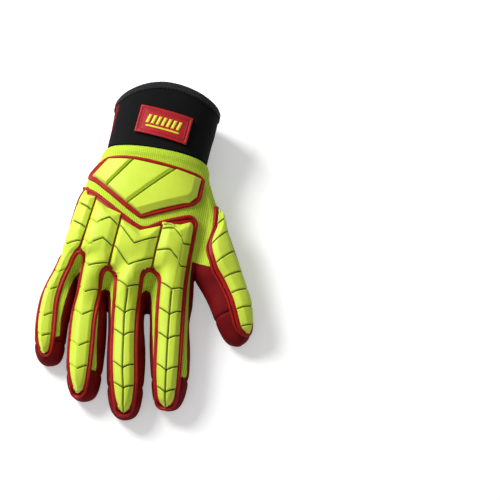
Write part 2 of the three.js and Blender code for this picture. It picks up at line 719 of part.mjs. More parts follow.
// Lays a grid of rays on the targets and lifts it until its faces clear them everywhere.
function layOn(targets, rays, gap) {
  const grid = rays.map((row) => row.map(({ through, way }) => (
    (dropOn(targets, through, way) || through.clone()).addScaledVector(way, gap))));
  const samples = [[1, 0, 0], [0, 1, 0], [0, 0, 1], [0.5, 0.5, 0], [0, 0.5, 0.5], [0.5, 0, 0.5],
    [0.34, 0.33, 0.33], [0.6, 0.2, 0.2], [0.2, 0.6, 0.2], [0.2, 0.2, 0.6]];
  for (let pass = 0; pass < 3; pass += 1) {
    for (let r = 0; r < grid.length - 1; r += 1) {
      for (let c = 0; c < grid[0].length - 1; c += 1) {
        const corners = [[r, c], [r, c + 1], [r + 1, c + 1], [r + 1, c]];
        [[0, 1, 2], [0, 2, 3]].forEach((picks) => {
          const trio = picks.map((pick) => corners[pick]);
          samples.forEach((share) => {
            const point = vec(0, 0, 0);
            const way = vec(0, 0, 0);
            trio.forEach(([row, column], n) => {
              point.addScaledVector(grid[row][column], share[n]);
              way.addScaledVector(rays[row][column].way, share[n]);
            });
            way.normalize();
            const hit = dropOn(targets, point, way);
            const short = hit ? gap - point.clone().sub(hit).dot(way) : 0;
            if (short > 0.01) {
              trio.forEach(([row, column], n) => {
                const lift = short * Math.min(1, share[n] * 1.5);
                grid[row][column].addScaledVector(rays[row][column].way, lift);
              });
            }
          });
        });
      }
    }
  }
  return grid;
}

function rowAt(rows, place) {
  const low = Math.min(Math.floor(place), rows.length - 2);
  const t = place - low;
  const result = {};
  Object.keys(rows[0]).forEach((key) => {
    result[key] = mix(rows[low][key], rows[low + 1][key], t);
  });
  return result;
}

// Rays for one guard strip: a list of places along it and a list of shares across it. The
// border keeps the pad inside its flange.
function stripRays(index, places, shares, inset) {
  const { rows } = strips[index];
  return places.map((place) => {
    const row = rowAt(rows, place);
    return shares.map((share) => {
      const sign = share < 0 ? -1 : 1;
      const climb = share < 0 ? row.climbLeft : row.climbRight;
      const divider = dividers[share < 0 ? index - 1 : index];
      const own = share < 0 ? row.left : row.right;
      let reach = own;
      let lean = row.tilt;
      if (divider) {
        const seam = divider.x + divider.slope * (row.y + climb);
        const blend = Math.max(0, Math.min(1, sharedRows + 1 - place));
        reach = mix(own, (seam - row.x) * sign, blend);
        lean = mix(row.tilt, 0, blend * Math.abs(share));
      }
      const across = vec(Math.cos(lean * degrees), 0, Math.sin(lean * degrees));
      const way = vec(-across.z, 0, across.x);
      const through = vec(row.x, row.y, row.z);
      through.addScaledVector(across, (reach - inset(place, sign)) * share);
      through.y += climb * Math.abs(share);
      return { through, way };
    });
  });
}

function thumbRays(places, shares, inset) {
  return places.map((place) => {
    const row = rowAt(thumbStrip.rows, place);
    const out = vec(Math.cos(row.turn * degrees), Math.sin(row.turn * degrees), 0);
    const way = out.clone().multiplyScalar(Math.sin(row.lean * degrees));
    way.z = Math.cos(row.lean * degrees);
    const across = out.clone().multiplyScalar(Math.cos(row.lean * degrees));
    across.z = -Math.sin(row.lean * degrees);
    return shares.map((share) => {
      const side = share < 0 ? row.inner - inset : row.outer - inset;
      const through = vec(row.x, row.y, row.z).addScaledVector(across, side * share);
      return { through, way };
    });
  });
}

const group = new THREE.Group();

const panelColours = {
  palm_panel: colours.leather,
  back_panel: colours.knit,
  side_little: colours.side,
  side_index: colours.side,
  side_thumb: colours.side,
  fourchette_little_ring: colours.side,
  fourchette_ring_middle: colours.side,
  fourchette_middle_index: colours.side,
  little_cap: colours.side,
  ring_cap: colours.side,
  middle_cap: colours.side,
  index_cap: colours.side,
  thumb_cap: colours.side,
};
Object.entries(panelColours).forEach(([panel, colour]) => {
  group.add(panelBody(panel, colour, fabricWall));
});

// Flanges and pads of the guards: each flange lies on the hand and each pad on its flange.
const flangeShares = [-1, -0.5, 0, 0.5, 1];
const padShares = [-1, -0.7, 0, 0.7, 1];

function flangeOn(name, rays) {
  const base = layOn([skinMesh], rays, guardLift);
  const body = gridBody(name, raised(base, gridNormals(base), flangeThickness), base,
    colours.flange);
  body.updateMatrixWorld(true);
  group.add(body);
  return body;
}

function padOn(name, flange, rays, height) {
  const base = layOn([flange, skinMesh], rays, clearance * 1.4);
  group.add(gridBody(name, raised(base, gridNormals(base), height), base, colours.guard));
}

function halfSteps(count) {
  return Array.from({ length: 2 * count + 1 }, (entry, n) => n / 2);
}

// Places of the pad rows along a strip: each block has a groove before it.
function blockRows(count, first, last) {
  const places = [];
  const levels = [];
  for (let n = 0; n < count; n += 1) {
    const start = n === 0 ? first : n;
    const stop = n === count - 1 ? last : n + 1;
    places.push(start, mix(start, stop, 0.14), mix(start, stop, 0.86));
    levels.push(n === 0 ? padEdge : padHeight - padGroove, padHeight, padHeight);
  }
  places.push(last);
  levels.push(padEdge);
  return { places, levels };
}

function blockHeight(levels) {
  return (r, c) => (c === 0 || c === padShares.length - 1 ? padEdge : levels[r]);
}

strips.forEach((strip, index) => {
  const count = strip.rows.length - 1;
  const border = (place, side) => {
    const shared = side < 0 ? index > 0 : index < strips.length - 1;
    const upper = Math.max(0, Math.min(1, sharedRows + 0.6 - place));
    return shared ? mix(borderWidth, seamWidth, upper) : borderWidth;
  };
  const flange = flangeOn(`guard_flange_${strip.name}`,
    stripRays(index, halfSteps(count), flangeShares, () => clearance * 0.6));
  const { places, levels } = blockRows(count, 0.12, count - 0.16);
  padOn(`guard_pad_${strip.name}`, flange,
    stripRays(index, places, padShares, border), blockHeight(levels));
});

{
  const count = thumbStrip.rows.length - 1;
  const flange = flangeOn('guard_flange_thumb', thumbRays(halfSteps(count), flangeShares, 0));
  const { places, levels } = blockRows(count, 0.3, count - 0.3);
  padOn('guard_pad_thumb', flange,
    thumbRays(places, padShares, borderWidth * 0.9), blockHeight(levels));
}

// Guard of the wrist.
{
  const way = vec(0, 0, 1);
  const shares = [0, 0.2, 0.4, 0.6, 0.8, 1];
  const rays = shares.map((share) => wristFlange.map((column) => {
    const through = vec(column.x, mix(column.top, column.bottom, share), 0);
    return { through, way };
  }));
  const flange = flangeOn('wrist_guard_flange', rays);
  const onLine = (line, t) => {
    const place = t * (line.length - 1);
    const low = Math.min(Math.floor(place), line.length - 2);
    return [0, 1].map((axis) => mix(line[low][axis], line[low + 1][axis], place - low));
  };
  const steps = [0, 0.1, 0.333, 0.667, 0.9, 1];
  const last = steps.length - 1;
  wristPads.forEach((pad) => {
    const padRays = steps.slice().reverse().map((v) => {
      const a = onLine(pad.lower, v);
      const b = onLine(pad.upper, v);
      return steps.map((u) => ({ through: vec(mix(a[0], b[0], u), mix(a[1], b[1], u), 0), way }));
    });
    padOn(pad.name, flange, padRays, (r, c) => (
      r === 0 || r === last || c === 0 || c === last ? padEdge : padHeight));
  });
}

// Cuff.

function rimShift(angle) {
  const c = Math.cos(angle);
  const s = Math.sin(angle);
  const side = c > 0 ? rimHeight.thumbSide : rimHeight.littleSide;
  const face = s > 0 ? rimHeight.back : rimHeight.palm;
  return side * c * c + face * s * s;
}

// Point of the cuff surface: share 0 at the hand seam and 1 at the rim.
function cuffPoint(share, angle, depth) {
  const place = share * (cuffRows.length - 1);
  const row = rowAt(cuffRows, place);
  const halfHeight = (row.top - cuffBase) / 2;
  const [u, v] = sectionPoint(angle, row.half - depth, halfHeight - depth, cuffSquare);
  const y = row.y + rimShift(angle) * share * share;
  return vec(row.centre + u, y, cuffBase + halfHeight + v);
}

function cuffLength(angle) {
  return cuffPoint(1, angle, 0).y - cuffPoint(0, angle, 0).y;
}

function cuffPanel(name, fromSeam, toSeam, fromRim, toRim, colour) {
  const span = Math.abs(toRim - fromRim);
  const count = Math.max(2, Math.round(span / fullTurn * cuffSegments));
  const rows = 4;
  const outer = [];
  const inner = [];
  const gapAngle = clearance / 2 / 38 / degrees;
  for (let r = 0; r <= rows; r += 1) {
    const outerRow = [];
    const innerRow = [];
    for (let c = 0; c <= count; c += 1) {
      const t = c / count;
      const seamAngle = mix(fromSeam - gapAngle, toSeam + gapAngle, t);
      const rimAngle = mix(fromRim - gapAngle, toRim + gapAngle, t);
      const reach = 1 - r / rows;
      const share = reach * (1 - (bindingDepth + clearance) / cuffLength(rimAngle * degrees));
      const angle = mix(seamAngle, rimAngle, share) * degrees;
      outerRow.push(cuffPoint(share, angle, 0));
      innerRow.push(cuffPoint(share, angle, cuffWall));
    }
    outer.push(outerRow);
    inner.push(innerRow);
  }
  return gridBody(name, outer, inner, colour);
}

const cuffBack = cuffPanel('cuff_back', gussetSeam.from, cuffSplit, gussetRim.from, cuffSplit,
  colours.neoprene);
group.add(cuffBack);
group.add(cuffPanel('cuff_gusset', gussetSeam.to, gussetSeam.from, gussetRim.to, gussetRim.from,
  colours.side));
const cuffPalm = cuffPanel('cuff_palm', cuffSplit, gussetSeam.to - fullTurn,
  cuffSplit, gussetRim.to - fullTurn, colours.neoprene);
group.add(cuffPalm);

// Binding round the rim, a little thicker than the wall it closes.
function bindingBody() {
  const outer = [];
  const inner = [];
  const profile = [0, 0.5, 1];
  for (let n = 0; n < cuffSegments; n += 1) {
    const angle = (-n / cuffSegments) * 2 * Math.PI;
    const length = cuffLength(angle);
    const outerRow = [];
    const innerRow = [];
    profile.forEach((t) => {
      const share = 1 - (bindingDepth * (1 - t)) / length;
      const swell = bindingExtra * Math.sin(Math.PI * (0.15 + 0.7 * t));
      outerRow.push(cuffPoint(share, angle, -swell));
      innerRow.push(cuffPoint(share, angle, cuffWall + swell));
    });
    outer.push(outerRow);
    inner.push(innerRow);
  }
  return gridBody('cuff_binding', outer, inner, colours.neoprene, true);
}

const binding = bindingBody();
group.add(binding);

// Badge: a plate bent over the cuff with a raised rim.
{
  const edgeU = badge.rim / badge.width;
  const edgeV = badge.rim / badge.height;
  const across = [0, edgeU, 0.25, 0.5, 0.75, 1 - edgeU, 1];
  const along = [0, edgeV, 0.5, 1 - edgeV, 1];
  const c = Math.cos(badge.turn * degrees);
  const s = Math.sin(badge.turn * degrees);
  const way = vec(0, 0, 1);
  const rays = along.map((v) => across.map((u) => {
    const dx = (u - 0.5) * badge.width;
    const dy = (0.5 - v) * badge.height;
    return { through: vec(badge.x + dx * c - dy * s, badge.y + dx * s + dy * c, 0), way };
  }));
  const base = layOn([cuffBack], rays, guardLift);
  const top = raised(base, gridNormals(base), (r, column) => {
    const edge = r === 0 || r === along.length - 1 || column === 0 || column === across.length - 1;
    return badge.thickness + (edge ? badge.rimHeight : 0);
  });
  group.add(gridBody('badge', top, base, colours.badge));
}

// Stack under the cuff: two reflective patches, a plate and webbing that runs past the rim.
function underSheet(name, width, fromY, toY, thickness, colour) {
  const across = [0, 0.25, 0.5, 0.75, 1];
  const along = [0, 0.5, 1];
  const way = vec(0, 0, -1);
  const rays = along.map((v) => across.map((u) => {
    const x = tab.x + (u - 0.5) * width;
    const y = mix(toY, fromY, v);
    return { through: vec(x, Math.min(y, cuffRows[3].y - bindingDepth * 0.8), cuffBase), way, y };
  }));
  const top = layOn([cuffPalm, binding], rays, clearance * 1.8);
  top.forEach((row, r) => row.forEach((point, column) => {
    point.y = rays[r][column].y;
  }));
  const bottom = top.map((row) => row.map((point) => vec(point.x, point.y, point.z - thickness)));
  return gridBody(name, top, bottom, colour);
}

const seamY = cuffRows[0].y + 0.8;
const rimY = cuffRows[3].y;
const plateFrom = seamY + patch.height + patch.gap;
const lowerFrom = plateFrom + plate.height + patch.gap;
const tabFrom = lowerFrom + patch.height + patch.gap;
group.add(underSheet('reflective_patch_upper', patch.width, seamY, seamY + patch.height,
  patch.thickness, colours.reflective));
group.add(underSheet('size_plate', plate.width, plateFrom, plateFrom + plate.height,
  plate.thickness, colours.plate));
group.add(underSheet('reflective_patch_lower', patch.width, lowerFrom, lowerFrom + patch.height,
  patch.thickness, colours.reflective));
group.add(underSheet('pull_tab', tab.width, tabFrom, rimY + tab.beyond,
  tab.thickness, colours.webbing));

// Origin: centre of the outline on the surface the glove lies on.
const box = new THREE.Box3().setFromObject(group);
const middle = box.getCenter(new THREE.Vector3());
group.children.forEach((mesh) => {
  mesh.geometry.translate(-middle.x, -middle.y, -box.min.z);
});

export default group;
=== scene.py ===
import math

import bmesh
import bpy
import numpy as np
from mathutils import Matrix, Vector, noise
from mathutils.bvhtree import BVHTree
from mathutils.kdtree import KDTree


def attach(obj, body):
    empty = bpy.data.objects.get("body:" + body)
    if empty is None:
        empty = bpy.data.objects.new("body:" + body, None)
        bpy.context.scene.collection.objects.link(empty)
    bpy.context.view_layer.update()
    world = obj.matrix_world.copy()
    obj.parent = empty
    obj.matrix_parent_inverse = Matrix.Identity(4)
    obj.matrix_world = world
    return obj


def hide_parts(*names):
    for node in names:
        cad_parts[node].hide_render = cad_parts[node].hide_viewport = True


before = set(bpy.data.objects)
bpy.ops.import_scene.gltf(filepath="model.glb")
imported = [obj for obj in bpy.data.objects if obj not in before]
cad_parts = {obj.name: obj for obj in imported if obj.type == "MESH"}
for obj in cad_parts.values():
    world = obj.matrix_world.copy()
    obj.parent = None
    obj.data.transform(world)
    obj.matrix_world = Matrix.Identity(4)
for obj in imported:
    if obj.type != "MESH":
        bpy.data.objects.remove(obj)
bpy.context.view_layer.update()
bpy.context.scene.view_settings.view_transform = "Standard"

# Tables are in millimetres with the middle of the cuff seam at x 0. This moves them
# to the frame of the model, in metres.
shift = np.array([-13.45, 1.16, 0.0])
mm = 0.001


def eased(values, passes, closed):
    for _ in range(passes):
        if closed:
            values = (np.roll(values, 1, axis=0) + 2 * values + np.roll(values, -1, axis=0)) / 4
        else:
            inner = (values[:-2] + 2 * values[1:-1] + values[2:]) / 4
            values = np.concatenate([values[:1], inner, values[-1:]])
    return values


def unit(vectors):
    length = np.linalg.norm(vectors, axis=-1, keepdims=True)
    return vectors / np.maximum(length, 1e-9)


def mix(a, b, t):
    return a + (b - a) * t


def ramp(value, low, high):
    return np.clip((value - low) / (high - low), 0.0, 1.0)


def smooth(value, low, high):
    t = ramp(value, low, high)
    return t * t * (3 - 2 * t)


# Value of a table with a first column of places, with straight or rounded steps between.
def fromTable(table, place, rounded=True):
    table = np.array(table, float)
    place = min(max(place, table[0, 0]), table[-1, 0])
    n = int(np.searchsorted(table[:, 0], place, side="right")) - 1
    n = min(n, len(table) - 2)
    span = table[n + 1, 0] - table[n, 0]
    t = (place - table[n, 0]) / span
    if not rounded:
        return mix(table[n, 1:], table[n + 1, 1:], t)
    before, after = max(n - 1, 0), min(n + 2, len(table) - 1)
    slopeA = (table[n + 1, 1:] - table[before, 1:]) / (table[n + 1, 0] - table[before, 0]) * span
    slopeB = (table[after, 1:] - table[n, 1:]) / (table[after, 0] - table[n, 0]) * span
    a, b = table[n, 1:], table[n + 1, 1:]
    return ((2 * t**3 - 3 * t**2 + 1) * a + (t**3 - 2 * t**2 + t) * slopeA
            + (3 * t**2 - 2 * t**3) * b + (t**3 - t**2) * slopeB)


# Colours and finish of every material.
finishes = {
    # The guard rubber's near-black groove colour is painted shade for the grooves of the pads.
    "guardRubber": {"lit": (0.66, 0.83, 0.06), "deep": (0.56, 0.73, 0.035), "roughness": 0.5,
                    "specular": 0.3, "sheen": 0.08, "groove": (0.02, 0.028, 0.002)},
    "flangeRubber": {"lit": (0.41, 0.009, 0.006), "deep": (0.31, 0.005, 0.004), "roughness": 0.5,
                     "specular": 0.25, "clouds": (220, 0.35), "grain": (1700, 0.0001, 0.5)},
    # The palm leather's third colour is painted shade, a shaded copy of the leather colour.
    "pebbledLeather": {"lit": (0.45, 0.017, 0.022), "deep": (0.20, 0.005, 0.008),
                       "cloudShade": (0.27, 0.008, 0.012), "roughness": 0.55, "pebbles": 620.0},
    "sideFabric": {"lit": (0.21, 0.005, 0.007), "deep": (0.13, 0.003, 0.004), "roughness": 0.7,
                   "specular": 0.12, "knitLit": (0.64, 0.86, 0.07), "knitDeep": (0.40, 0.60, 0.025),
                   "knitRoughness": 0.85, "ribs": 4200.0, "loops": 5200.0},
    "cuffFabric": {"lit": (0.007, 0.0075, 0.0085), "deep": (0.002, 0.002, 0.0025),
                   "roughness": 0.75, "specular": 0.12, "ribs": (6500.0, 6500.0)},
    "bindingTape": {"lit": (0.02, 0.02, 0.022), "deep": (0.006, 0.006, 0.007), "roughness": 0.75,
                    "specular": 0.3, "ribs": (5200.0, 3000.0)},
    "webbing": {"lit": (0.035, 0.035, 0.038), "deep": (0.007, 0.007, 0.008), "roughness": 0.75,
                "specular": 0.3, "ribs": (2600.0, 6500.0)},
    "reflectiveCloth": {"lit": (0.80, 0.81, 0.84), "deep": (0.62, 0.63, 0.67), "roughness": 0.42,
                        "specular": 0.6, "sheen": 0.4, "beads": 2600.0},
    "plateRubber": {"lit": (0.17, 0.17, 0.175), "deep": (0.13, 0.13, 0.135), "roughness": 0.5,
                    "grain": (1500, 0.0001, 0.6)},
    "badgeRubber": {"lit": (0.50, 0.012, 0.020), "deep": (0.42, 0.009, 0.015), "roughness": 0.45,
                    "grain": (1300, 0.00008, 0.6)},
    "markYellow": {"lit": (0.86, 0.80, 0.05), "deep": (0.78, 0.72, 0.03), "roughness": 0.5,
                   "grain": (1300, 0.00006, 0.6)},
    "blackThread": {"lit": (0.02, 0.02, 0.022), "deep": (0.012, 0.012, 0.013), "roughness": 0.7,
                    "grain": (4000, 0.00005, 0.6)},
    "redThread": {"lit": (0.30, 0.010, 0.014), "deep": (0.2, 0.006, 0.009), "roughness": 0.7,
                  "grain": (4000, 0.00005, 0.6)},
    "floorWhite": {"lit": (0.93, 0.93, 0.93), "roughness": 0.9, "specular": 0.1},
}


def newMaterial(name):
    look = finishes[name]
    material = bpy.data.materials.new(name)
    material.use_nodes = True
    shader = material.node_tree.nodes["Principled BSDF"]
    shader.inputs["Base Color"].default_value = (*look["lit"], 1)
    shader.inputs["Roughness"].default_value = look["roughness"]
    shader.inputs["Specular IOR Level"].default_value = look.get("specular", 0.4)
    shader.inputs["Sheen Weight"].default_value = look.get("sheen", 0.0)
    return material, look


def addNode(material, kind, settings=None, **inputs):
    node = material.node_tree.nodes.new(kind)
    for key, value in (settings or {}).items():
        setattr(node, key, value)
    for key, value in inputs.items():
        socket = node.inputs[key] if key in node.inputs else node.inputs[int(key[2:])]
        if isinstance(value, bpy.types.NodeSocket):
            material.node_tree.links.new(value, socket)
        else:
            socket.default_value = value
    return node


def link(material, output, socketName):
    shader = material.node_tree.nodes["Principled BSDF"]
    material.node_tree.links.new(output, shader.inputs[socketName])


def objectPlace(material):
    return addNode(material, "ShaderNodeTexCoord").outputs["Object"]


def attribute(material, name):
    return addNode(material, "ShaderNodeAttribute", {"attribute_name": name}).outputs["Fac"]


def mixColours(material, factor, first, second):
    values = {"in0": factor, "in6": first, "in7": second}
    values = {key: (*value, 1) if isinstance(value, tuple) else value
              for key, value in values.items()}
    return addNode(material, "ShaderNodeMix", {"data_type": "RGBA"}, **values).outputs[2]


def mathNode(material, operation, a, b=0.0):
    return addNode(material, "ShaderNodeMath", {"operation": operation}, in0=a, in1=b).outputs[0]


def times(material, a, b):
    return mathNode(material, "MULTIPLY", a, b)


def rangeNode(material, value, low, high, toLow=0.0, toHigh=1.0):
    limits = {"Value": value, "From Min": low, "From Max": high, "To Min": toLow, "To Max": toHigh}
    return addNode(material, "ShaderNodeMapRange", {"clamp": True}, **limits).outputs["Result"]


def bumpFrom(material, height, distance, strength, under=None):
    node = addNode(material, "ShaderNodeBump", None, Height=height, Distance=distance,
                   Strength=strength)
    if under is not None:
        material.node_tree.links.new(under, node.inputs["Normal"])
    return node.outputs["Normal"]


def noiseNode(material, place, scale, detail=3.0, roughness=0.5):
    return addNode(material, "ShaderNodeTexNoise", None, Vector=place, Scale=scale,
                   Detail=detail, Roughness=roughness).outputs["Fac"]


# Soft clouds from 0 to 1, to shade one colour into another.
def clouds(material, place, scale, low=0.3, detail=3.0):
    return rangeNode(material, noiseNode(material, place, scale, detail), low, 1 - low)


def cells(material, place, scale, randomness=1.0):
    return addNode(material, "ShaderNodeTexVoronoi", {"feature": "F1"}, Vector=place, Scale=scale,
                   Randomness=randomness).outputs["Distance"]


# Sine ribs across one axis; bend moves them to and fro.
def ribs(material, place, axis, count, bend=0.0):
    parts = addNode(material, "ShaderNodeSeparateXYZ", None, Vector=place)
    phase = mathNode(material, "ADD", times(material, parts.outputs[axis], count), bend)
    return mathNode(material, "SINE", phase)


# Moulded rubber of the guards: bright lime, with painted shade darkening it in the grooves.
def makeGuardRubber():
    material, look = newMaterial("guardRubber")
    place = objectPlace(material)
    base = mixColours(material, clouds(material, place, 160, 0.35), look["lit"], look["deep"])
    faded = mixColours(material, 0.25, look["lit"], base)
    # Painted shade: a vertex attribute mixes the near-black groove colour in along the grooves.
    paintedShade = attribute(material, "groove")
    link(material, mixColours(material, paintedShade, faded, look["groove"]), "Base Color")
    grain = noiseNode(material, place, 1900, 4, 0.6)
    link(material, bumpFrom(material, grain, 0.00012, 0.5), "Normal")
    return material


# Fine rib knit: ribs along the hand with small loops across them.
def knitNodes(material, place, look):
    across = ribs(material, place, "X", look["ribs"])
    loops = ribs(material, place, "Y", look["loops"], times(material, across, 1.2))
    weave = mathNode(material, "ADD", times(material, across, 0.6), times(material, loops, 0.4))
    shade = rangeNode(material, weave, -1.0, 0.6)
    colour = mixColours(material, shade, look["knitDeep"], look["knitLit"])
    cloud = times(material, clouds(material, place, 60, 0.3, 2), 0.25)
    return mixColours(material, cloud, colour, look["knitDeep"]), weave


# Pebbled red leather of the palm, with painted shade: darker in the hollows between the pebbles and in
# random cloudy patches.
def makePebbled():
    material, look = newMaterial("pebbledLeather")
    place = objectPlace(material)
    # Painted shade: the hollows between the pebbles, low in the bump, take the deep colour.
    pebbles = rangeNode(material, cells(material, place, look["pebbles"], 0.9), 0.15, 0.75, 1.0, 0.0)
    colour = mixColours(material, pebbles, look["deep"], look["lit"])
    # Painted shade: a shaded copy of the leather colour mixed in at random cloudy patches.
    cloud = times(material, clouds(material, place, 45), 0.3)
    link(material, mixColours(material, cloud, colour, look["cloudShade"]), "Base Color")
    grain = times(material, noiseNode(material, place, 1500, 4), 0.25)
    height = mathNode(material, "ADD", pebbles, grain)
    link(material, bumpFrom(material, height, 0.00045, 0.8), "Normal")
    return material


# Smooth red side fabric; where the attribute web is above a half it is the knit instead.
def makeSideFabric():
    material, look = newMaterial("sideFabric")
    place = objectPlace(material)
    red = mixColours(material, clouds(material, place, 80), look["lit"], look["deep"])
    knit, weave = knitNodes(material, place, look)
    web = attribute(material, "web")
    mask = rangeNode(material, web, 0.45, 0.55)
    link(material, mixColours(material, mask, red, knit), "Base Color")
    fine = bumpFrom(material, noiseNode(material, place, 900, 5, 0.6), 0.00012, 0.6)
    link(material, bumpFrom(material, times(material, weave, mask), 0.00022, 0.7, fine), "Normal")
    link(material, rangeNode(material, web, 0.45, 0.55, look["roughness"], look["knitRoughness"]),
         "Roughness")
    return material


# Stretch fabric with a fine checked weave.
def makeCuffFabric():
    material, look = newMaterial("cuffFabric")
    place = objectPlace(material)
    across, along = (ribs(material, place, *rib) for rib in zip("XY", look["ribs"]))
    weave = times(material, across, along)
    shade = rangeNode(material, weave, -1.0, 1.0)
    link(material, mixColours(material, shade, look["deep"], look["lit"]), "Base Color")
    link(material, bumpFrom(material, weave, 0.00015, 0.6), "Normal")
    return material


# Woven tape with ribs one way and lower ones the other way.
def makeRibbed(name):
    material, look = newMaterial(name)
    place = objectPlace(material)
    across, along = (ribs(material, place, *rib) for rib in zip("XY", look["ribs"]))
    weave = mathNode(material, "ADD", across, times(material, along, 0.5))
    shade = rangeNode(material, weave, -1.2, 1.2)
    link(material, mixColours(material, shade, look["deep"], look["lit"]), "Base Color")
    link(material, bumpFrom(material, weave, 0.0002, 0.7), "Normal")
    return material


def makeReflective():
    material, look = newMaterial("reflectiveCloth")
    place = objectPlace(material)
    cloud = clouds(material, place, 110, 0.3, 4)
    link(material, mixColours(material, cloud, look["lit"], look["deep"]), "Base Color")
    link(material, bumpFrom(material, cells(material, place, look["beads"]), 0.00006, 0.6), "Normal")
    return material


# Plain rubber or thread; grain is its scale, depth and strength.
def makePlain(name):
    material, look = newMaterial(name)
    place = objectPlace(material)
    cloud = clouds(material, place, *look.get("clouds", (120, 0.3)))
    link(material, mixColours(material, cloud, look["lit"], look["deep"]), "Base Color")
    scale, depth, strength = look["grain"]
    link(material, bumpFrom(material, noiseNode(material, place, scale), depth, strength), "Normal")
    return material


guardRubber = makeGuardRubber()
pebbledLeather = makePebbled()
sideFabric = makeSideFabric()
cuffFabric = makeCuffFabric()
reflectiveCloth = makeReflective()
bindingTape, webbing = (makeRibbed(name) for name in ("bindingTape", "webbing"))
flangeRubber, plateRubber, badgeRubber, markYellow, blackThread, redThread = (
    makePlain(name) for name in ("flangeRubber", "plateRubber", "badgeRubber", "markYellow",
                                 "blackThread", "redThread"))
print("materials ready")


# Piece from a bmesh in millimetres of the tables.
def makePiece(name, bm, material, nodes=(), solid=None):
    for vert in bm.verts:
        vert.co = Vector((np.array(vert.co) + shift) * mm)
    mesh = bpy.data.meshes.new(name)
    bm.to_mesh(mesh)
    bm.free()
    mesh.shade_smooth()
    piece = bpy.data.objects.new(name, mesh)
    bpy.context.collection.objects.link(piece)
    mesh.materials.append(material)
    if solid:
        wall = piece.modifiers.new("wall", "SOLIDIFY")
        wall.thickness = solid * mm
        wall.offset = -1
    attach(piece, "root")
    if nodes:
        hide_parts(*nodes)
    return piece


# Grid of points as a sheet; rows run to the fingertips and columns to the thumb.
def gridSheet(points, closed=False, groove=None):
    rows, columns = points.shape[:2]
    bm = bmesh.new()
    bmesh.ops.create_grid(bm, x_segments=columns - 1, y_segments=rows - 1, size=1.0)
    # The optional values are painted shade for the grooves, kept as a vertex attribute.
    layer = bm.verts.layers.float.new("groove") if groove is not None else None
    for vert in bm.verts:
        c = round((vert.co.x + 1) / 2 * (columns - 1))
        r = round((1 - vert.co.y) / 2 * (rows - 1))
        vert.co = Vector(points[r, c])
        if layer is not None:
            vert[layer] = float(groove[r, c])
    if closed:
        bmesh.ops.remove_doubles(bm, verts=bm.verts, dist=0.01)
    return bm


def gridNormals(points):
    across = np.gradient(points, axis=1)
    along = -np.gradient(points, axis=0)
    return unit(np.cross(across, along))


# The hand as a net of four-sided faces

handTable = {
    # y, left, right, height of the back, height of the palm, squareness
    "palm": [(72.6, -38.2, 37.8, 48.5, 2.6, 2.2), (55, -46.2, 43.5, 46.5, 0, 2.3),
             (35, -50.8, 49, 45.5, 0, 2.4), (11, -53.2, 47, 43, 0, 2.5), (-9, -55, 43, 38.5, 0, 2.6)],
    # line where the fingers begin: on the back, on the palm and half way down a crotch
    "rootBack": [(-56, -19, 19), (-50, -21, 26.5), (-43.2, -23, 19), (-31.5, -30, 31),
                 (-18.8, -33, 21), (-4.5, -32, 33.5), (10.8, -29, 21), (27.5, -28, 32.5),
                 (42.2, -27, 22)],
    "rootPalm": [(-56, -25, 1.2), (-50, -32, 0), (-41.6, -36, 2.4), (-31, -42, 0),
                 (-16.4, -45.5, 2.2), (-3, -45, 0), (13.8, -42, 2.2), (29, -40, 0), (43, -35, 1.6)],
    "rootMid": {0: (-59.5, -21, 11), 2: (-42.3, -30, 11), 4: (-17.6, -40, 12), 6: (12.6, -36, 12),
                8: (45.4, -30, 12)},
    # x, y, width, depth of each section
    "fingers": [
        ("little", 12, (-50.8, -97, 8), [(-53.2, -44, 23.0, 24.0), (-54.7, -62, 23.6, 22.8),
                                         (-53.6, -81, 22.8, 20.8), (-51.6, -92.5, 16.5, 15.0)]),
        ("ring", 14, (-20.4, -120.5, 9), [(-28.0, -54, 24.6, 27.0), (-26.5, -75, 27.6, 25.6),
                                          (-24.2, -100, 26.2, 23.2), (-21.6, -114.8, 19.0, 16.8)]),
        ("middle", 10, (12.2, -129.5, 9), [(-0.8, -54, 26.4, 28.0), (3.3, -76, 28.2, 26.6),
                                           (7.8, -105, 27.0, 23.8), (11.0, -123, 19.5, 17.2)]),
        ("index", 7, (41.6, -117, 9), [(31.6, -51, 29.4, 28.5), (35.2, -70, 30.0, 26.8),
                                       (39.4, -94, 27.6, 24.0), (41.1, -110.5, 20.0, 17.4)]),
    ],
    "thumbBack": [(41.5, 53, 34), (46.5, 33, 34), (45.5, 10, 31), (41.0, -9, 26)],
    "thumbPalm": [(44, 53, 2.5), (50, 30, 0), (49, 8, 0), (42, -12, 1.2)],
    "thumbOuter": (47.4, 51, 18),
    "thumbInner": (43.2, -12.5, 14),
    # x, y, width, depth, heading of the width
    "thumb": [(55.5, 1.0, 38.0, 33.0, 55), (63.0, -11.5, 32.0, 30.0, 37),
              (70.0, -24.0, 28.4, 27.5, 31), (76.3, -36.0, 27.0, 25.5, 29),
              (82.8, -50.0, 20.5, 19.0, 26)],
    "thumbTip": (85.6, -57.0, 9.5),
    # squareness of the palm's underside, the fingers and the thumb; how the palm's ring spreads
    "underSquare": 3.4,
    "fingerSquare": 2.3,
    "midHeight": 0.44,
    "bunching": 1.12,
    "flatShare": 0.9,
    "thumbTipShare": 0.12,
    "fitPasses": 12,
    "levels": 4,
    "wall": 1.6,
}
netPoints = []
netFaces = []


def addPoint(*place):
    netPoints.append([float(part) for part in place])
    return len(netPoints) - 1


def addFace(corners, panel):
    netFaces.append((corners, panel))


def sectionPoint(angle, halfWidth, halfDepth, square):
    c, s = math.cos(angle), math.sin(angle)
    radius = (abs(c) ** square + abs(s) ** square) ** (-1 / square)
    return halfWidth * c * radius, halfDepth * s * radius


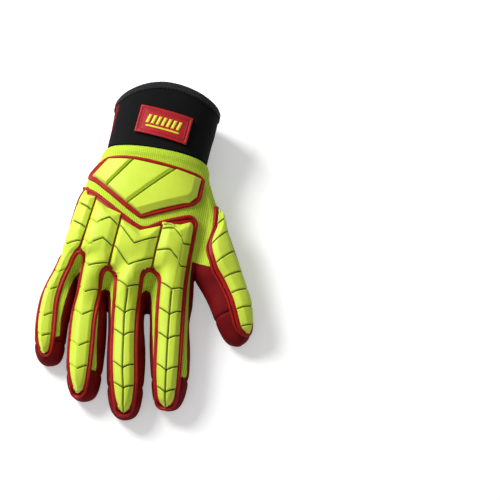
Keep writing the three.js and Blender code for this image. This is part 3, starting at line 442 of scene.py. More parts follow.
def palmRing(y, left, right, top, base, square):
    centre, half, middle = (left + right) / 2, (right - left) / 2, mix(base, top, handTable["midHeight"])
    under, bunching = handTable["underSquare"], handTable["bunching"]
    back, palm = [], []
    for k in range(9):
        spread = math.sin((k / 4 - 1) * bunching) / math.sin(bunching) * handTable["flatShare"]
        rise = (1 - abs(spread) ** square) ** (1 / square)
        sag = (1 - abs(spread) ** under) ** (1 / under)
        back.append(addPoint(centre + half * spread, y, middle + (top - middle) * rise))
        palm.append(addPoint(centre + half * spread, y, middle - (middle - base) * sag))
    return {"back": back, "palm": palm, "little": addPoint(left, y, middle),
            "thumb": addPoint(right, y, middle)}


def buildNet():
    rings = [palmRing(*row) for row in handTable["palm"]]
    for n in range(4):
        netPoints[rings[n + 1]["back"][8]] = list(handTable["thumbBack"][n])
        netPoints[rings[n + 1]["palm"][8]] = list(handTable["thumbPalm"][n])
    netPoints[rings[1]["thumb"]] = list(handTable["thumbOuter"])
    netPoints[rings[4]["thumb"]] = list(handTable["thumbInner"])
    root = {"back": [addPoint(*p) for p in handTable["rootBack"]],
            "palm": [addPoint(*p) for p in handTable["rootPalm"]],
            "mid": {k: addPoint(*p) for k, p in handTable["rootMid"].items()}}
    root["little"], root["thumb"] = root["mid"][0], root["mid"][8]
    allRings = rings + [root]
    for s in range(5):
        here, after = allRings[s], allRings[s + 1]
        for k in range(8):
            addFace([here["back"][k], after["back"][k], after["back"][k + 1], here["back"][k + 1]],
                    "back_panel")
            addFace([here["palm"][k + 1], after["palm"][k + 1], after["palm"][k], here["palm"][k]],
                    "palm_panel")
        outer = "side_little" if s == 4 else "back_panel"
        addFace([here["little"], after["little"], after["back"][0], here["back"][0]], outer)
        addFace([here["palm"][0], after["palm"][0], after["little"], here["little"]], outer)
        if s in (0, 4):
            inner = "side_index" if s == 4 else "back_panel"
            addFace([here["back"][8], after["back"][8], after["thumb"], here["thumb"]], inner)
            addFace([here["thumb"], after["thumb"], after["palm"][8], here["palm"][8]], inner)
    sides = ["side_little", "fourchette_little_ring", "fourchette_ring_middle",
             "fourchette_middle_index", "side_index"]
    for index, (name, roll, tipPlace, rows) in enumerate(handTable["fingers"]):
        buildFinger(root, index, name, roll, tipPlace, rows, sides[index], sides[index + 1])
    buildThumb(rings)


def buildFinger(root, index, name, roll, tipPlace, rows, before, after):
    k = 2 * index
    ring = [root["back"][k], root["back"][k + 1], root["back"][k + 2], root["mid"][k + 2],
            root["palm"][k + 2], root["palm"][k + 1], root["palm"][k], root["mid"][k]]
    sectors = ["back_panel"] * 2 + [after] * 2 + ["palm_panel"] * 2 + [before] * 2
    centres = [handTable["rootBack"][k + 1]] + rows + [tipPlace]
    for place, row in enumerate(rows):
        ahead = unit(np.array(centres[place + 2][:2]) - np.array(centres[place][:2]))
        across = np.array([-ahead[1], ahead[0]])
        fresh = []
        for angle in (135, 90, 45, 0, -45, -90, -135, 180):
            u, v = sectionPoint(math.radians(angle + roll), row[2] / 2, row[3] / 2,
                                handTable["fingerSquare"])
            fresh.append(addPoint(row[0] + across[0] * u, row[1] + across[1] * u,
                                  max(row[3] / 2 + v, 0)))
        for n in range(8):
            m = (n + 1) % 8
            panel = name + "_cap" if place == len(rows) - 1 else sectors[n]
            addFace([ring[n], fresh[n], fresh[m], ring[m]], panel)
        ring = fresh
    tip = addPoint(*tipPlace)
    for corners in ([ring[0], ring[7], tip, ring[1]], [ring[1], tip, ring[3], ring[2]],
                    [tip, ring[5], ring[4], ring[3]], [ring[7], ring[6], ring[5], tip]):
        addFace(corners, name + "_cap")


def buildThumb(rings):
    ring = [rings[n]["back"][8] for n in (1, 2, 3, 4)] + [rings[4]["thumb"]]
    ring += [rings[n]["palm"][8] for n in (4, 3, 2, 1)] + [rings[1]["thumb"]]
    sectors = ["back_panel"] + ["side_thumb"] * 4 + ["palm_panel"] * 3 + ["back_panel"] * 2
    for place, (x, y, width, depth, turn) in enumerate(handTable["thumb"]):
        fresh = []
        for angle in (38, 72, 108, 142, 180, -142, -108, -72, -38, 0):
            u, v = sectionPoint(math.radians(angle), width / 2, depth / 2,
                                handTable["fingerSquare"])
            fresh.append(addPoint(x + math.cos(math.radians(turn)) * u,
                                  y + math.sin(math.radians(turn)) * u, max(depth / 2 + v, 0)))
        for n in range(10):
            m = (n + 1) % 10
            panel = "thumb_cap" if place == 4 else sectors[n]
            addFace([ring[n], ring[m], fresh[m], fresh[n]], panel)
        ring = fresh
    width, turn = handTable["thumb"][-1][2], math.radians(handTable["thumb"][-1][4])
    heading = np.array([math.cos(turn), math.sin(turn), 0]) * width * handTable["thumbTipShare"]
    outer = addPoint(*(np.array(handTable["thumbTip"]) + heading))
    inner = addPoint(*(np.array(handTable["thumbTip"]) - heading))
    for corners in ([ring[9], ring[0], ring[1], outer], [ring[1], ring[2], inner, outer],
                    [ring[2], ring[3], ring[4], inner], [inner, ring[4], ring[5], ring[6]],
                    [outer, inner, ring[6], ring[7]], [ring[9], outer, ring[7], ring[8]]):
        addFace(corners, "thumb_cap")


# Net whose smooth surface passes through the table's points.
def fitNet():
    count = len(netPoints)
    edges = [dict() for _ in range(count)]
    opposite = [[] for _ in range(count)]
    for corners, _ in netFaces:
        for n in range(4):
            here, after = corners[n], corners[(n + 1) % 4]
            opposite[here].append(corners[(n + 2) % 4])
            edges[here][after] = edges[here].get(after, 0) + 1
            edges[after][here] = edges[after].get(here, 0) + 1
    limit = np.zeros((count, count))
    for v in range(count):
        rim = [other for other, uses in edges[v].items() if uses == 1]
        if not edges[v]:
            limit[v, v] = 1
        elif rim:
            limit[v, v] = 4
            limit[v, rim] += 1
        else:
            valence = len(edges[v])
            limit[v, v] = valence * valence
            for other in edges[v]:
                limit[v, other] += 4
            for other in opposite[v]:
                limit[v, other] += 1
        limit[v] /= limit[v].sum()
    target = np.array(netPoints)
    net = target.copy()
    for _ in range(handTable["fitPasses"]):
        net += target - limit @ net
    return net


buildNet()
panelNames = sorted({panel for _, panel in netFaces})
netMesh = bpy.data.meshes.new("net")
netMesh.from_pydata(fitNet().tolist(), [], [corners for corners, _ in netFaces])
netMesh.polygons.foreach_set("material_index",
                             [panelNames.index(panel) for _, panel in netFaces])
netObject = bpy.data.objects.new("net", netMesh)
for panel in panelNames:
    netMesh.materials.append(None)
bpy.context.collection.objects.link(netObject)
finer = netObject.modifiers.new("finer", "SUBSURF")
finer.levels = finer.render_levels = handTable["levels"]
dense = bpy.data.meshes.new_from_object(
    netObject.evaluated_get(bpy.context.evaluated_depsgraph_get()))
bpy.data.objects.remove(netObject)

skin = np.empty(len(dense.vertices) * 3)
dense.vertices.foreach_get("co", skin)
skin = skin.reshape(-1, 3)
skin[:, 2] = np.maximum(skin[:, 2], 0.0)
skinFaces = np.empty(len(dense.polygons) * 4, int)
dense.polygons.foreach_get("vertices", skinFaces)
skinFaces = skinFaces.reshape(-1, 4)
skinPanels = np.empty(len(dense.polygons), int)
dense.polygons.foreach_get("material_index", skinPanels)
bpy.data.meshes.remove(dense)
faceNormals = np.cross(skin[skinFaces[:, 2]] - skin[skinFaces[:, 0]],
                       skin[skinFaces[:, 3]] - skin[skinFaces[:, 1]])
skinNormals = np.zeros_like(skin)
for n in range(4):
    np.add.at(skinNormals, skinFaces[:, n], faceNormals)
skinNormals = unit(skinNormals)
skinTree = BVHTree.FromPolygons(skin.tolist(), skinFaces.tolist())
print("hand surface ready:", len(skinFaces), "faces")

# Panels of the hand: their edges roll down into the seams. The last value of a panel is the
# depth of its creases.
panelLook = {
    "palm_panel": (pebbledLeather, "palm_leather", 0.35),
    "back_panel": (sideFabric, "knit", 0.12),
    "others": (sideFabric, "side_fabric", 0.18),
}
seamRoll = {"depths": (0.95, 0.42, 0.12), "gap": -0.05}
# size and share of each wave of the creases
creases = [(0.09, 0.6), (0.22, 0.4)]
# the back's edge at the cuff: its height, where it rises and falls, and the rim's line
cuffLip = {"height": 1.1, "rise": (65.5, 68.0), "fall": (71.6, 73), "rim": 72.4}


# Outlines of what is red side fabric on the back and between the fingers, in pixels of the
# camera's picture. Outside them the same pieces are knit.
redOutlines = [
    [(84, 270), (79, 272.5), (74, 279), (70, 287), (65, 300), (61, 318), (59.5, 336), (50, 338),
     (30, 338), (30, 400), (68, 400), (74, 345), (80, 315), (88, 290), (90, 275)],
    [(105, 289), (101, 291), (99, 300), (98, 320), (96.5, 345), (96.5, 377), (88, 379), (60, 379),
     (60, 420), (125, 425), (125, 386), (109.5, 384), (110.5, 350), (111, 300), (110, 291)],
    [(146, 290), (142, 293), (139, 300), (132, 330), (128, 372), (125, 386), (125, 430), (160, 430),
     (158, 376), (153.5, 376), (153, 350), (152.3, 320), (151.5, 300), (150.5, 293)],
    [(192, 261.5), (199, 264), (208, 266), (216, 268), (225, 290), (240, 325), (250, 350),
     (250, 430), (160, 430), (158, 376), (165, 376), (180, 376), (182, 380), (185, 380),
     (186.8, 376), (187.2, 345), (188, 320), (188.7, 300), (190, 280)],
]
stageTable = {"target": (0.0661, 0.0235, 0.0), "azimuth": 10, "elevation": 70, "distance": 6.0,
              "lens": 576.0, "sensor": 36.0, "picture": 500, "pixel": 0.75}


def cameraBack():
    a, e = math.radians(stageTable["azimuth"]), math.radians(stageTable["elevation"])
    return np.array([math.sin(a) * math.cos(e), -math.cos(a) * math.cos(e), math.sin(e)])


# Place of points in the camera's picture, in pixels.
def toPicture(points):
    back = cameraBack()
    right = unit(np.cross(np.array([0, 0, 1.0]), back))
    up = np.cross(back, right)
    offset = (points + shift) * mm - np.array(stageTable["target"])
    depth = stageTable["distance"] - offset @ back
    scale = stageTable["lens"] / stageTable["sensor"] * stageTable["picture"] / depth
    middle = stageTable["picture"] / 2
    return np.stack([middle + offset @ right * scale, middle - offset @ up * scale], axis=-1)


# Signed distance to an outline, above nought inside.
def insideBy(points, outline):
    corners = np.array(outline, float)
    best = np.full(len(points), 1e9)
    inside = np.zeros(len(points), bool)
    for a, b in zip(corners, np.roll(corners, -1, axis=0)):
        edge = b - a
        t = np.clip((points - a) @ edge / (edge @ edge), 0, 1)
        best = np.minimum(best, np.linalg.norm(points - a - t[:, None] * edge, axis=1))
        crosses = (a[1] > points[:, 1]) != (b[1] > points[:, 1])
        reach = a[0] + (points[:, 1] - a[1]) * edge[0] / (edge[1] if edge[1] else 1e-9)
        inside ^= crosses & (points[:, 0] < reach)
    return np.where(inside, best, -best)


knitFloor = 9.0  # between the fingers there is no knit below this height


# Half and more where a point of the hand is knit, less where it is side fabric.
def webValues():
    seen = toPicture(skin)
    red = np.max([insideBy(seen, outline) for outline in redOutlines], axis=0)
    red *= stageTable["pixel"]
    return np.clip(0.5 - red, -1, 2)


webAll = webValues()

softPanels = {"back_panel", "side_thumb", "side_index", "side_little", "fourchette_little_ring",
              "fourchette_ring_middle", "fourchette_middle_index"}
vertPanels = [set() for _ in skin]
for corners, panel in zip(skinFaces, skinPanels):
    for v in corners:
        vertPanels[v].add(panelNames[panel])


def webValue(v, panel):
    if panel == "back_panel":
        return float(webAll[v])
    if panel.startswith("fourchette") or panel in ("side_index", "side_thumb"):
        return float(min(webAll[v], 0.5 + (skin[v][2] - knitFloor)))
    return -1.0


def panelPiece(panel):
    material, slot, crease = panelLook.get(panel, panelLook["others"])
    own = skinFaces[skinPanels == panelNames.index(panel)]
    used = np.unique(own)
    bm = bmesh.new()
    web = bm.verts.layers.float.new("web")
    made = {}
    for v in used:
        vert = bm.verts.new(skin[v])
        vert.normal = Vector(skinNormals[v])
        vert[web] = webValue(v, panel)
        made[v] = vert
    for corners in own:
        bm.faces.new([made[v] for v in corners])
    bm.normal_update()
    soft = softPanels if panel in softPanels else {panel}
    flush = {made[v] for v in used if vertPanels[v] <= soft}
    ring = {vert for vert in bm.verts if vert.is_boundary} - flush
    isRim = {v: made[v] in ring for v in used}
    cuffRim = {made[v] for v in used if skin[v][1] > cuffLip["rim"]}
    depth = {}
    for amount in seamRoll["depths"]:
        for vert in ring:
            depth.setdefault(vert, amount)
        ring = {edge.other_vert(vert) for vert in ring for edge in vert.link_edges} - set(depth)
    for v, vert in made.items():
        normal = Vector(skinNormals[v])
        place = Vector(skin[v])
        roll = 0 if vert in cuffRim else depth.get(vert, 0)
        if isRim[v]:
            way = Vector()
            for edge in vert.link_edges:
                way += (edge.other_vert(vert).co - vert.co)
            way -= normal * way.dot(normal)
            if way.length > 1e-6:
                place += way.normalized() * seamRoll["gap"]
        wave = sum(noise.noise(place * size) * share for size, share in creases)
        lift = crease * wave * (0 if depth.get(vert) else 1)
        if panel == "back_panel":
            y = skin[v][1]
            lift += cuffLip["height"] * smooth(y, *cuffLip["rise"]) * (1 - ramp(y, *cuffLip["fall"]))
        vert.co = place + normal * (lift - roll)
        vert.co.z = max(vert.co.z, 0.0)
    return makePiece(panel, bm, material, [panel], solid=handTable["wall"])


for panel in panelNames:
    panelPiece(panel)
print("hand panels ready")


# Draping

farStart, nearStart = 70.0, 20.0  # the near one keeps rays of the strips off the next finger


def dropOn(tree, through, way, start=farStart):
    hit = tree.ray_cast(Vector(through + way * start), Vector(-way))
    return None if hit[0] is None else np.array(hit[0])


def drape(tree, through, way, passes=3, start=farStart):
    rows, columns = through.shape[:2]
    base = np.empty_like(through)
    missing = np.zeros((rows, columns), bool)
    for r in range(rows):
        for c in range(columns):
            hit = dropOn(tree, through[r, c], way[r, c], start)
            missing[r, c] = hit is None
            base[r, c] = through[r, c] if hit is None else hit
    for _ in range(passes):
        inner = base.copy()
        inner[1:-1, 1:-1] = (base[1:-1, 1:-1] * 2 + base[:-2, 1:-1] + base[2:, 1:-1]
                             + base[1:-1, :-2] + base[1:-1, 2:]) / 6
        moved = np.sum((inner - base) * way, axis=-1, keepdims=True)
        base = base + way * moved
    return base


borderStep = 0.2


# Distance of every point of a grid to the grid's border.
def borderDistance(points):
    loop = np.concatenate([points[0], points[1:, -1], points[-1, -2::-1], points[-2::-1, 0]])
    dots = []
    for a, b in zip(loop[:-1], loop[1:]):
        steps = max(1, int(np.linalg.norm(b - a) / borderStep))
        dots += [mix(a, b, n / steps) for n in range(steps)]
    tree = KDTree(len(dots))
    for n, dot in enumerate(dots):
        tree.insert(Vector(dot), n)
    tree.balance()
    distance = np.array([[tree.find(Vector(point))[2] for point in row] for row in points])
    distance[0, :] = distance[-1, :] = 0
    distance[:, 0] = distance[:, -1] = 0
    return distance


# Guards: a row for each groove along a strip of pads, from the wrist to the tip. Dividers are
# the lines between the strips, x at y nought and slope, and shared is the last groove there.
guardTable = {
    "dividers": [(-41.6, 0.130), (-18.0, 0.088), (13.3, 0.071)],
    "shared": 2,
    "flangeInset": 0.7,
    "padInset": 2.3,
    "outlineInset": 0.0,
    "padSeam": 0.65,
    "flangeSeam": 0.15,
    "flangeTop": 1.5,
    "flangeRound": (0.9, 0.8),  # drop and width of the round edge
    "flangeWall": 1.2,
    "flangeStep": 0.05,
    "padStep": 0.06,
    "padWall": 1.0,
    "archPlaces": (1.8, 3.1),  # where the rows lie closer together
    "archStep": 0.35,
    "padTop": 5.0,
    "padEdge": 1.5,
    # x, y, z, reach left, reach right, climb left, climb right, tilt
    "little": [(-43.4, 34.5, 35, 6.6, 6, 4.5, -3.5, 12), (-47.0, 19, 34, 7.6, 7, 4, 3, 16),
               (-49.0, 5, 32, 7.8, 7, 4, 3, 20), (-51.6, -8, 29, 8.0, 6.6, 4, 3, 24),
               (-55.6, -30, 26, 8.0, 6.0, 4, 4, 28), (-58.2, -44.5, 24, 8.2, 7.2, 4, 4, 28),
               (-59.0, -65, 22, 7.6, 7.4, 4, 4, 28), (-57.6, -80, 20, 6.6, 6.8, 3, 3, 26),
               (-55.0, -91.0, 15, 4.6, 3.8, 1.5, 1.5, 20)],
    "ring": [(-27.0, 24.6, 44, 10, 10, 6.4, -6, 0), (-30.6, 9, 42, 10, 12, 4, 5, 0),
             (-33.0, -7, 38, 10, 13, 4, 5, 4), (-33.8, -23, 34, 7.0, 8.6, 4.5, 4.5, 14),
             (-33.4, -43, 31, 7.6, 9.6, 5, 5, 18), (-31.8, -60.5, 28, 9.2, 9.4, 5, 5, 18),
             (-29.8, -84.5, 26, 9.6, 9.0, 5, 5, 18), (-27.8, -101.5, 23, 8.6, 8.2, 4, 4, 18),
             (-25.6, -117.2, 16, 4.2, 4.2, 2, 2, 10)],
    "middle": [(-0.6, 10.4, 44, 16, 14, 6.4, 6.4, 0), (-3.4, -3, 42, 14, 16, 6.4, 5, 0),
               (-4.2, -18.5, 39, 14, 15, 6, 5, 0), (-3.4, -34.5, 35, 10.0, 10.6, 5, 5, 6),
               (-1.6, -54, 32, 10.8, 10.4, 5, 5, 8), (0.9, -71.4, 30, 10.8, 10.4, 5, 5, 8),
               (4.7, -96, 27, 10.8, 10.0, 5, 5, 8), (7.8, -110.5, 24, 9.0, 8.8, 4, 4, 7),
               (10.4, -126.4, 16, 4.8, 4.8, 2, 2, 4)],
    "index": [(27.0, 21.5, 41, 12, 12.2, -4.2, 4, 0), (29.4, 4, 40, 16, 10.2, 6, 3.5, 0),
              (30.0, -12.3, 37, 17, 9.8, 5, 3.5, 0), (29.8, -31, 33, 11.4, 10.6, 5, 4, 3),
              (31.6, -49.8, 31, 11.0, 10.6, 5, 5, 5), (33.8, -68.4, 29, 10.6, 10.6, 5, 5, 5),
              (36.9, -92, 26, 9.8, 9.8, 5, 5, 5), (38.8, -107, 22, 8.2, 8.0, 4, 4, 4),
              (40.2, -115.8, 15, 4.6, 4.6, 2, 2, 2)],
    # x, y, z, reach inwards, reach outwards, lean, turn
    "thumb": [(50.2, 41.5, 30, 3.0, 3.0, 52, 62), (56.0, 29.5, 30, 7.2, 6.5, 50, 58),
              (58.6, 18, 31, 11.4, 8.5, 44, 56), (64.6, 3, 29, 12.0, 9.0, 44, 50),
              (71.6, -9.5, 26, 10.0, 9.0, 46, 37), (77.4, -21.5, 23, 9.2, 9.0, 48, 31),
              (83.0, -33, 21, 8.8, 8.4, 50, 29), (87.6, -44.5, 18, 6.8, 6.4, 50, 26),
              (89.2, -50.5, 15, 3.0, 3.0, 46, 24)],
}
stripNames = ["little", "ring", "middle", "index"]

# Over the hand the grooves run in a zigzag: shares across each strip and the climb there.
zigzag = {
    "little": [(-1, 2.5), (-0.1, 5.0), (1, 0.0)],
    "ring": [(-1, 3.0), (-0.3, -1.0), (0.45, 4.5), (1, 0.0)],
    "middle": [(-1, 12.5), (0, 0), (1, 8.5)],
    "index": [(-1, 8.0), (-0.4, 10.0), (0.35, 0.0), (1, 2.0)],
}


zigzagFades = {"in": (0.25, 1.0), "out": (2.15, 2.85)}  # grooves where it comes and goes


# How far the rows of a strip climb to the wrist at a share of its width.
def climbAt(name, place, share, climbs):
    plain = climbs[0 if share < 0 else 1] * abs(share)
    if name not in zigzag:
        return plain
    table = np.array(zigzag[name])
    bent = float(np.interp(share, table[:, 0], table[:, 1]))
    amount = float(smooth(place, *zigzagFades["in"]) * (1 - smooth(place, *zigzagFades["out"])))
    return mix(plain, bent, amount)


# Middle line of the red border down both sides of each finger, as y and x, and the tops of
# the arches between the fingers with how far their round reaches down.
borderTable = {
    "half": 1.4,
    "flangeHalf": -0.2,
    "corner": 4.0,
    "tip": 5.0,
    "tipShare": 0.55,
    "cornerShare": 0.8,
    "narrowest": 0.8,
    "mend": 1.5,  # most that one ray moves an edge
    "handY": 20.0,  # a line across the hand, where only free sides have no divider
    "archSquare": 2.3,
    "arches": [(-12.0, 9.0), (-21.8, 9.5), (-17.8, 9.5)],
    "legs": {
        ("little", 1): [(-92, -51.6), (-86.6, -51.2), (-77.6, -51.4), (-68.1, -52.2), (-58.5, -53.1),
                        (-50, -53.4), (-43.8, -53.1), (-36, -52.2), (-28.5, -50.7), (-21, -48.6),
                        (-12, -46.4)],
        ("ring", -1): [(-119, -28.0), (-112, -31.1), (-103.6, -34.3), (-94.3, -36.5), (-84.7, -37.9),
                       (-74.8, -38.9), (-64, -39.7), (-54, -39.9), (-45, -39.0), (-36, -38.5),
                       (-26, -38.6), (-12, -38.5)],
        ("ring", 1): [(-119, -21.6), (-112, -20.4), (-102, -20.2), (-93, -20.5), (-83.6, -21.3),
                      (-74, -22.1), (-64.4, -22.9), (-54.5, -23.3), (-45, -23.6), (-36, -24.2),
                      (-20, -24.4)],
        ("middle", -1): [(-127, 6.6), (-118.8, 2.7), (-109.6, -0.5), (-99.9, -2.8), (-89.9, -4.8),
                         (-79.6, -6.5), (-69.4, -7.9), (-59.3, -9.3), (-49.3, -10.3),
                         (-39.5, -11.2), (-30, -12.2), (-20, -12.8)],
        ("middle", 1): [(-128, 14.2), (-121.8, 15.9), (-116.6, 16.4), (-107, 15.9), (-97.3, 14.5),
                        (-87.4, 12.7), (-77.3, 10.9), (-67.2, 9.3), (-56.9, 7.8), (-45.8, 6.6),
                        (-34.9, 5.8), (-17, 5.4)],
        ("index", -1): [(-119, 36.0), (-111.9, 33.2), (-103.3, 30.8), (-94, 28.7), (-84.2, 27.2),
                        (-74.2, 25.8), (-64.2, 24.4), (-54.1, 22.9), (-43.9, 21.8), (-33.9, 20.8),
                        (-25, 20.0), (-17, 19.4)],
        ("index", 1): [(-119, 44.2), (-113.8, 46.0), (-110, 46.7), (-101.2, 46.8), (-91.7, 46.1),
                       (-81.7, 45.1), (-71.4, 43.9), (-61.2, 42.6), (-50.8, 41.3), (-40.3, 40.0),
                       (-30, 38.9), (-19.9, 38.1), (-9.8, 37.9), (0, 38.1), (9.7, 38.3), (26, 38.7)],
    },
}


# x of the edge of a flange or a pad at a place y on one side of a strip, or None where the
# reach in the strip's table gives it.
def edgeOf(name, side, y, kind):
    if (name, side) not in borderTable["legs"]:
        return None
    half = borderTable["flangeHalf" if kind == "flange" else "half"]
    leg = float(fromTable(borderTable["legs"][(name, side)], y)[0])
    out = side * half * (1 if kind == "flange" else -1)
    divider = stripNames.index(name) - (1 if side < 0 else 0)
    if not 0 <= divider < 3:
        return leg + out
    base, slope = guardTable["dividers"][divider]
    seam = base + slope * y - side * guardTable["flangeSeam" if kind == "flange" else "padSeam"]
    top, height = borderTable["arches"][divider]
    top += -half if kind == "flange" else half
    if y >= top:
        return seam
    t = min((top - y) / height, 1.0)
    square = borderTable["archSquare"]
    blend = (1 - (1 - t) ** square) ** (1 / square)
    middle = base + slope * top
    edge = middle + (leg + out - middle) * blend
    if t >= 1:
        return edge
    return min(edge, seam) if side > 0 else max(edge, seam)


def stripFrame(name, place):
    row = fromTable([(n, *entry) for n, entry in enumerate(guardTable[name])], place)
    if name == "thumb":
        x, y, z, inner, outer, lean, turn = row
        lean, turn = math.radians(lean), math.radians(turn)
        heading = np.array([math.cos(turn), math.sin(turn), 0])
        up = np.array([0, 0, 1.0])
        across = heading * math.cos(lean) - up * math.sin(lean)
        ahead = heading * math.sin(lean) + up * math.cos(lean)
        return np.array([x, y, z]), (inner, outer), (0, 0), lambda share: (across, ahead)
    x, y, z, left, right, climbLeft, climbRight, tilt = row
    blend = float(ramp(guardTable["shared"] + 1 - place, 0, 1))
    index = stripNames.index(name)

    def axes(share):
        shared = index > 0 if share < 0 else index < 3
        lean = math.radians(mix(tilt, 0, blend * abs(share)) if shared else tilt)
        return (np.array([math.cos(lean), 0, math.sin(lean)]),
                np.array([-math.sin(lean), 0, math.cos(lean)]))

    return np.array([x, y, z]), (left, right), (climbLeft, climbRight), axes


# Points and directions of the rays that lay a strip on the hand, and the reach at each.
def stripRays(name, places, shares, kind):
    through = np.empty((len(places), len(shares), 3))
    way = np.empty_like(through)
    reaches = np.empty((len(places), len(shares)))
    centres = np.array([stripFrame(name, place)[0] for place in places])
    run = np.concatenate([[0], np.cumsum(np.linalg.norm(np.diff(centres, axis=0), axis=1))])
    amounts = np.empty((len(places), 2))
    corner, tip, mend = (borderTable[key] for key in ("corner", "tip", "mend"))
    for r, place in enumerate(places):
        centre, reach, climbs, axes = stripFrame(name, place)
        for side in (-1, 1):
            climb = climbAt(name, place, side, climbs)
            across, ahead = axes(side)
            wanted = edgeOf(name, side, centre[1] + climb, kind)
            amount = reach[0 if side < 0 else 1] - guardTable[kind + "Inset"]
            if wanted is not None:
                amount = (wanted - centre[0]) * side / across[0]
                for _ in range(3):
                    spot = centre + across * amount * side
                    spot[1] += climb
                    hit = dropOn(skinTree, spot, ahead, nearStart)
                    if hit is not None:
                        amount += np.clip((wanted - hit[0]) * side / across[0], -mend, mend)
            fromStart, fromEnd = run[r], run[-1] - run[r]
            free = (edgeOf(name, side, borderTable["handY"], kind) is None
                    or (name, side) == ("index", 1))
            if free and fromStart < corner:
                cutOff = 1 - math.sqrt(1 - (1 - fromStart / corner) ** 2)
                amount -= corner * cutOff * borderTable["cornerShare"]
            if fromEnd < tip:
                amount *= mix(borderTable["tipShare"], 1.0, math.sqrt(1 - (1 - fromEnd / tip) ** 2))
            amounts[r, 0 if side < 0 else 1] = max(amount, borderTable["narrowest"])
    amounts = eased(amounts, 3, False)
    for r, place in enumerate(places):
        centre, _, climbs, axes = stripFrame(name, place)
        for c, share in enumerate(shares):
            side = -1 if share < 0 else 1
            across, ahead = axes(share)
            amount = amounts[r, 0 if side < 0 else 1]
            through[r, c] = centre + across * amount * share
            through[r, c, 1] += climbAt(name, place, share, climbs)
            way[r, c] = ahead
            reaches[r, c] = amount
    return through, way, reaches


# Places along a strip, closer together round the arches.
def evenPlaces(name, first, last, step):
    low, high = guardTable["archPlaces"]
    places = [first]
    while places[-1] < last - 1e-6:
        byArch = name != "thumb" and low < places[-1] < high
        places.append(min(places[-1] + step * (guardTable["archStep"] if byArch else 1.0), last))
    return np.array(places)


edgeShares = [0, 0.1, 0.25, 0.4, 0.55, 0.7, 0.82, 0.9, 0.945, 0.975, 1.0]
flangeShares = np.array([-s for s in edgeShares[:0:-1]] + edgeShares)


# Height of a sheet with a round edge.
def roundEdge(distance, top, drop, width):
    t = 1 - np.minimum(distance / width, 1)
    return top - drop * (1 - np.sqrt(1 - t * t))


def flangePiece(name, node):
    count = len(guardTable[name]) - 1
    places = evenPlaces(name, 0, count, guardTable["flangeStep"])
    through, way, _ = stripRays(name, places, flangeShares, "flange")
    base = drape(skinTree, through, way, 3, nearStart)
    height = roundEdge(borderDistance(base), guardTable["flangeTop"], *guardTable["flangeRound"])
    top = base + gridNormals(base) * height[..., None]
    return makePiece(node, gridSheet(top), flangeRubber, [node],
                     solid=guardTable["flangeWall"])


for name in stripNames + ["thumb"]:
    flangePiece(name, "guard_flange_" + name)
print("flanges ready")

# Round red borders of the guards; the top is a line of x and y over the back of the hand.
beadTable = {
    "height": 2.3,
    "half": 1.6,
    "thin": 1.0,
    "thumbHalf": 1.15,
    "thumbHeight": 2.0,
    "wristHalf": 1.5,
    "sunk": 0.6,
    "sides": 16,
    "tipHalf": 0.85,  # share of the half width round the tips
    "tipPower": 0.8,
    "aside": 14.0,  # height from which a point past the hand's edge finds it
    "step": 0.7,
    "top": [(-48.8, 39.1), (-38.4, 31.9), (-18.6, 19), (-5.9, 11.9), (0.5, 9.8), (5.6, 11.5),
            (12.3, 16.3), (22.9, 21.4), (32, 25.7), (36.0, 26.0), (38.7, 22.3)],
    # y of the end of each pad and how far its round end reaches up
    "tips": {"little": (-92.6, 6.0), "ring": (-118.8, 6.5), "middle": (-127.8, 6.5),
             "index": (-116.2, 6.5)},
}


# Even points, a step apart, round a closed line.
def resample(points, step):
    points = np.array(points, float)
    points = np.concatenate([points, points[:1]])
    run = np.linalg.norm(np.diff(points[:, :3], axis=0), axis=1)
    run = np.concatenate([[0], np.cumsum(run)])
    at = np.linspace(0, run[-1], max(2, int(run[-1] / step)) + 1)
    fresh = np.stack([np.interp(at, run, points[:, k]) for k in range(points.shape[1])], axis=-1)
    return fresh[:-1]


# Round bead on the hand round a closed line of x, y, z and half width.
def beadPiece(name, points, height=beadTable["height"]):
    line = eased(resample(points, beadTable["step"]), 9, True)
    found = [skinTree.find_nearest(Vector(point[:3])) for point in line]
    normals = unit(eased(np.array([hit[1] for hit in found]), 8, True))
    halves = line[:, 3]
    line = eased(np.array([hit[0] for hit in found]), 3, True)
    across = unit(np.cross(np.roll(line, -1, axis=0) - np.roll(line, 1, axis=0), normals))
    line, normals, across, halves = (np.concatenate([part, part[:1]]) for part in (
        line, normals, across, halves))
    count = beadTable["sides"]
    rows = []
    for n in range(count + 1):
        turn = 2 * math.pi * (n % count) / count
        rise = (height if math.sin(turn) > 0 else beadTable["sunk"]) * math.sin(turn)
        rows.append(line + across * (halves * math.cos(turn))[:, None] + normals * rise)
    bm = gridSheet(np.stack(rows, axis=1), closed=True)
    bmesh.ops.recalc_face_normals(bm, faces=bm.faces)
    return makePiece(name, bm, flangeRubber)


def onBack(x, y):
    hit = dropOn(skinTree, np.array([x, y, 0.0]), np.array([0, 0, 1.0]))
    return np.array(skinTree.find_nearest(Vector((x, y, beadTable["aside"])))[0]) if hit is None else hit


def legX(name, side, y):
    return float(fromTable(borderTable["legs"][(name, side)], y)[0])


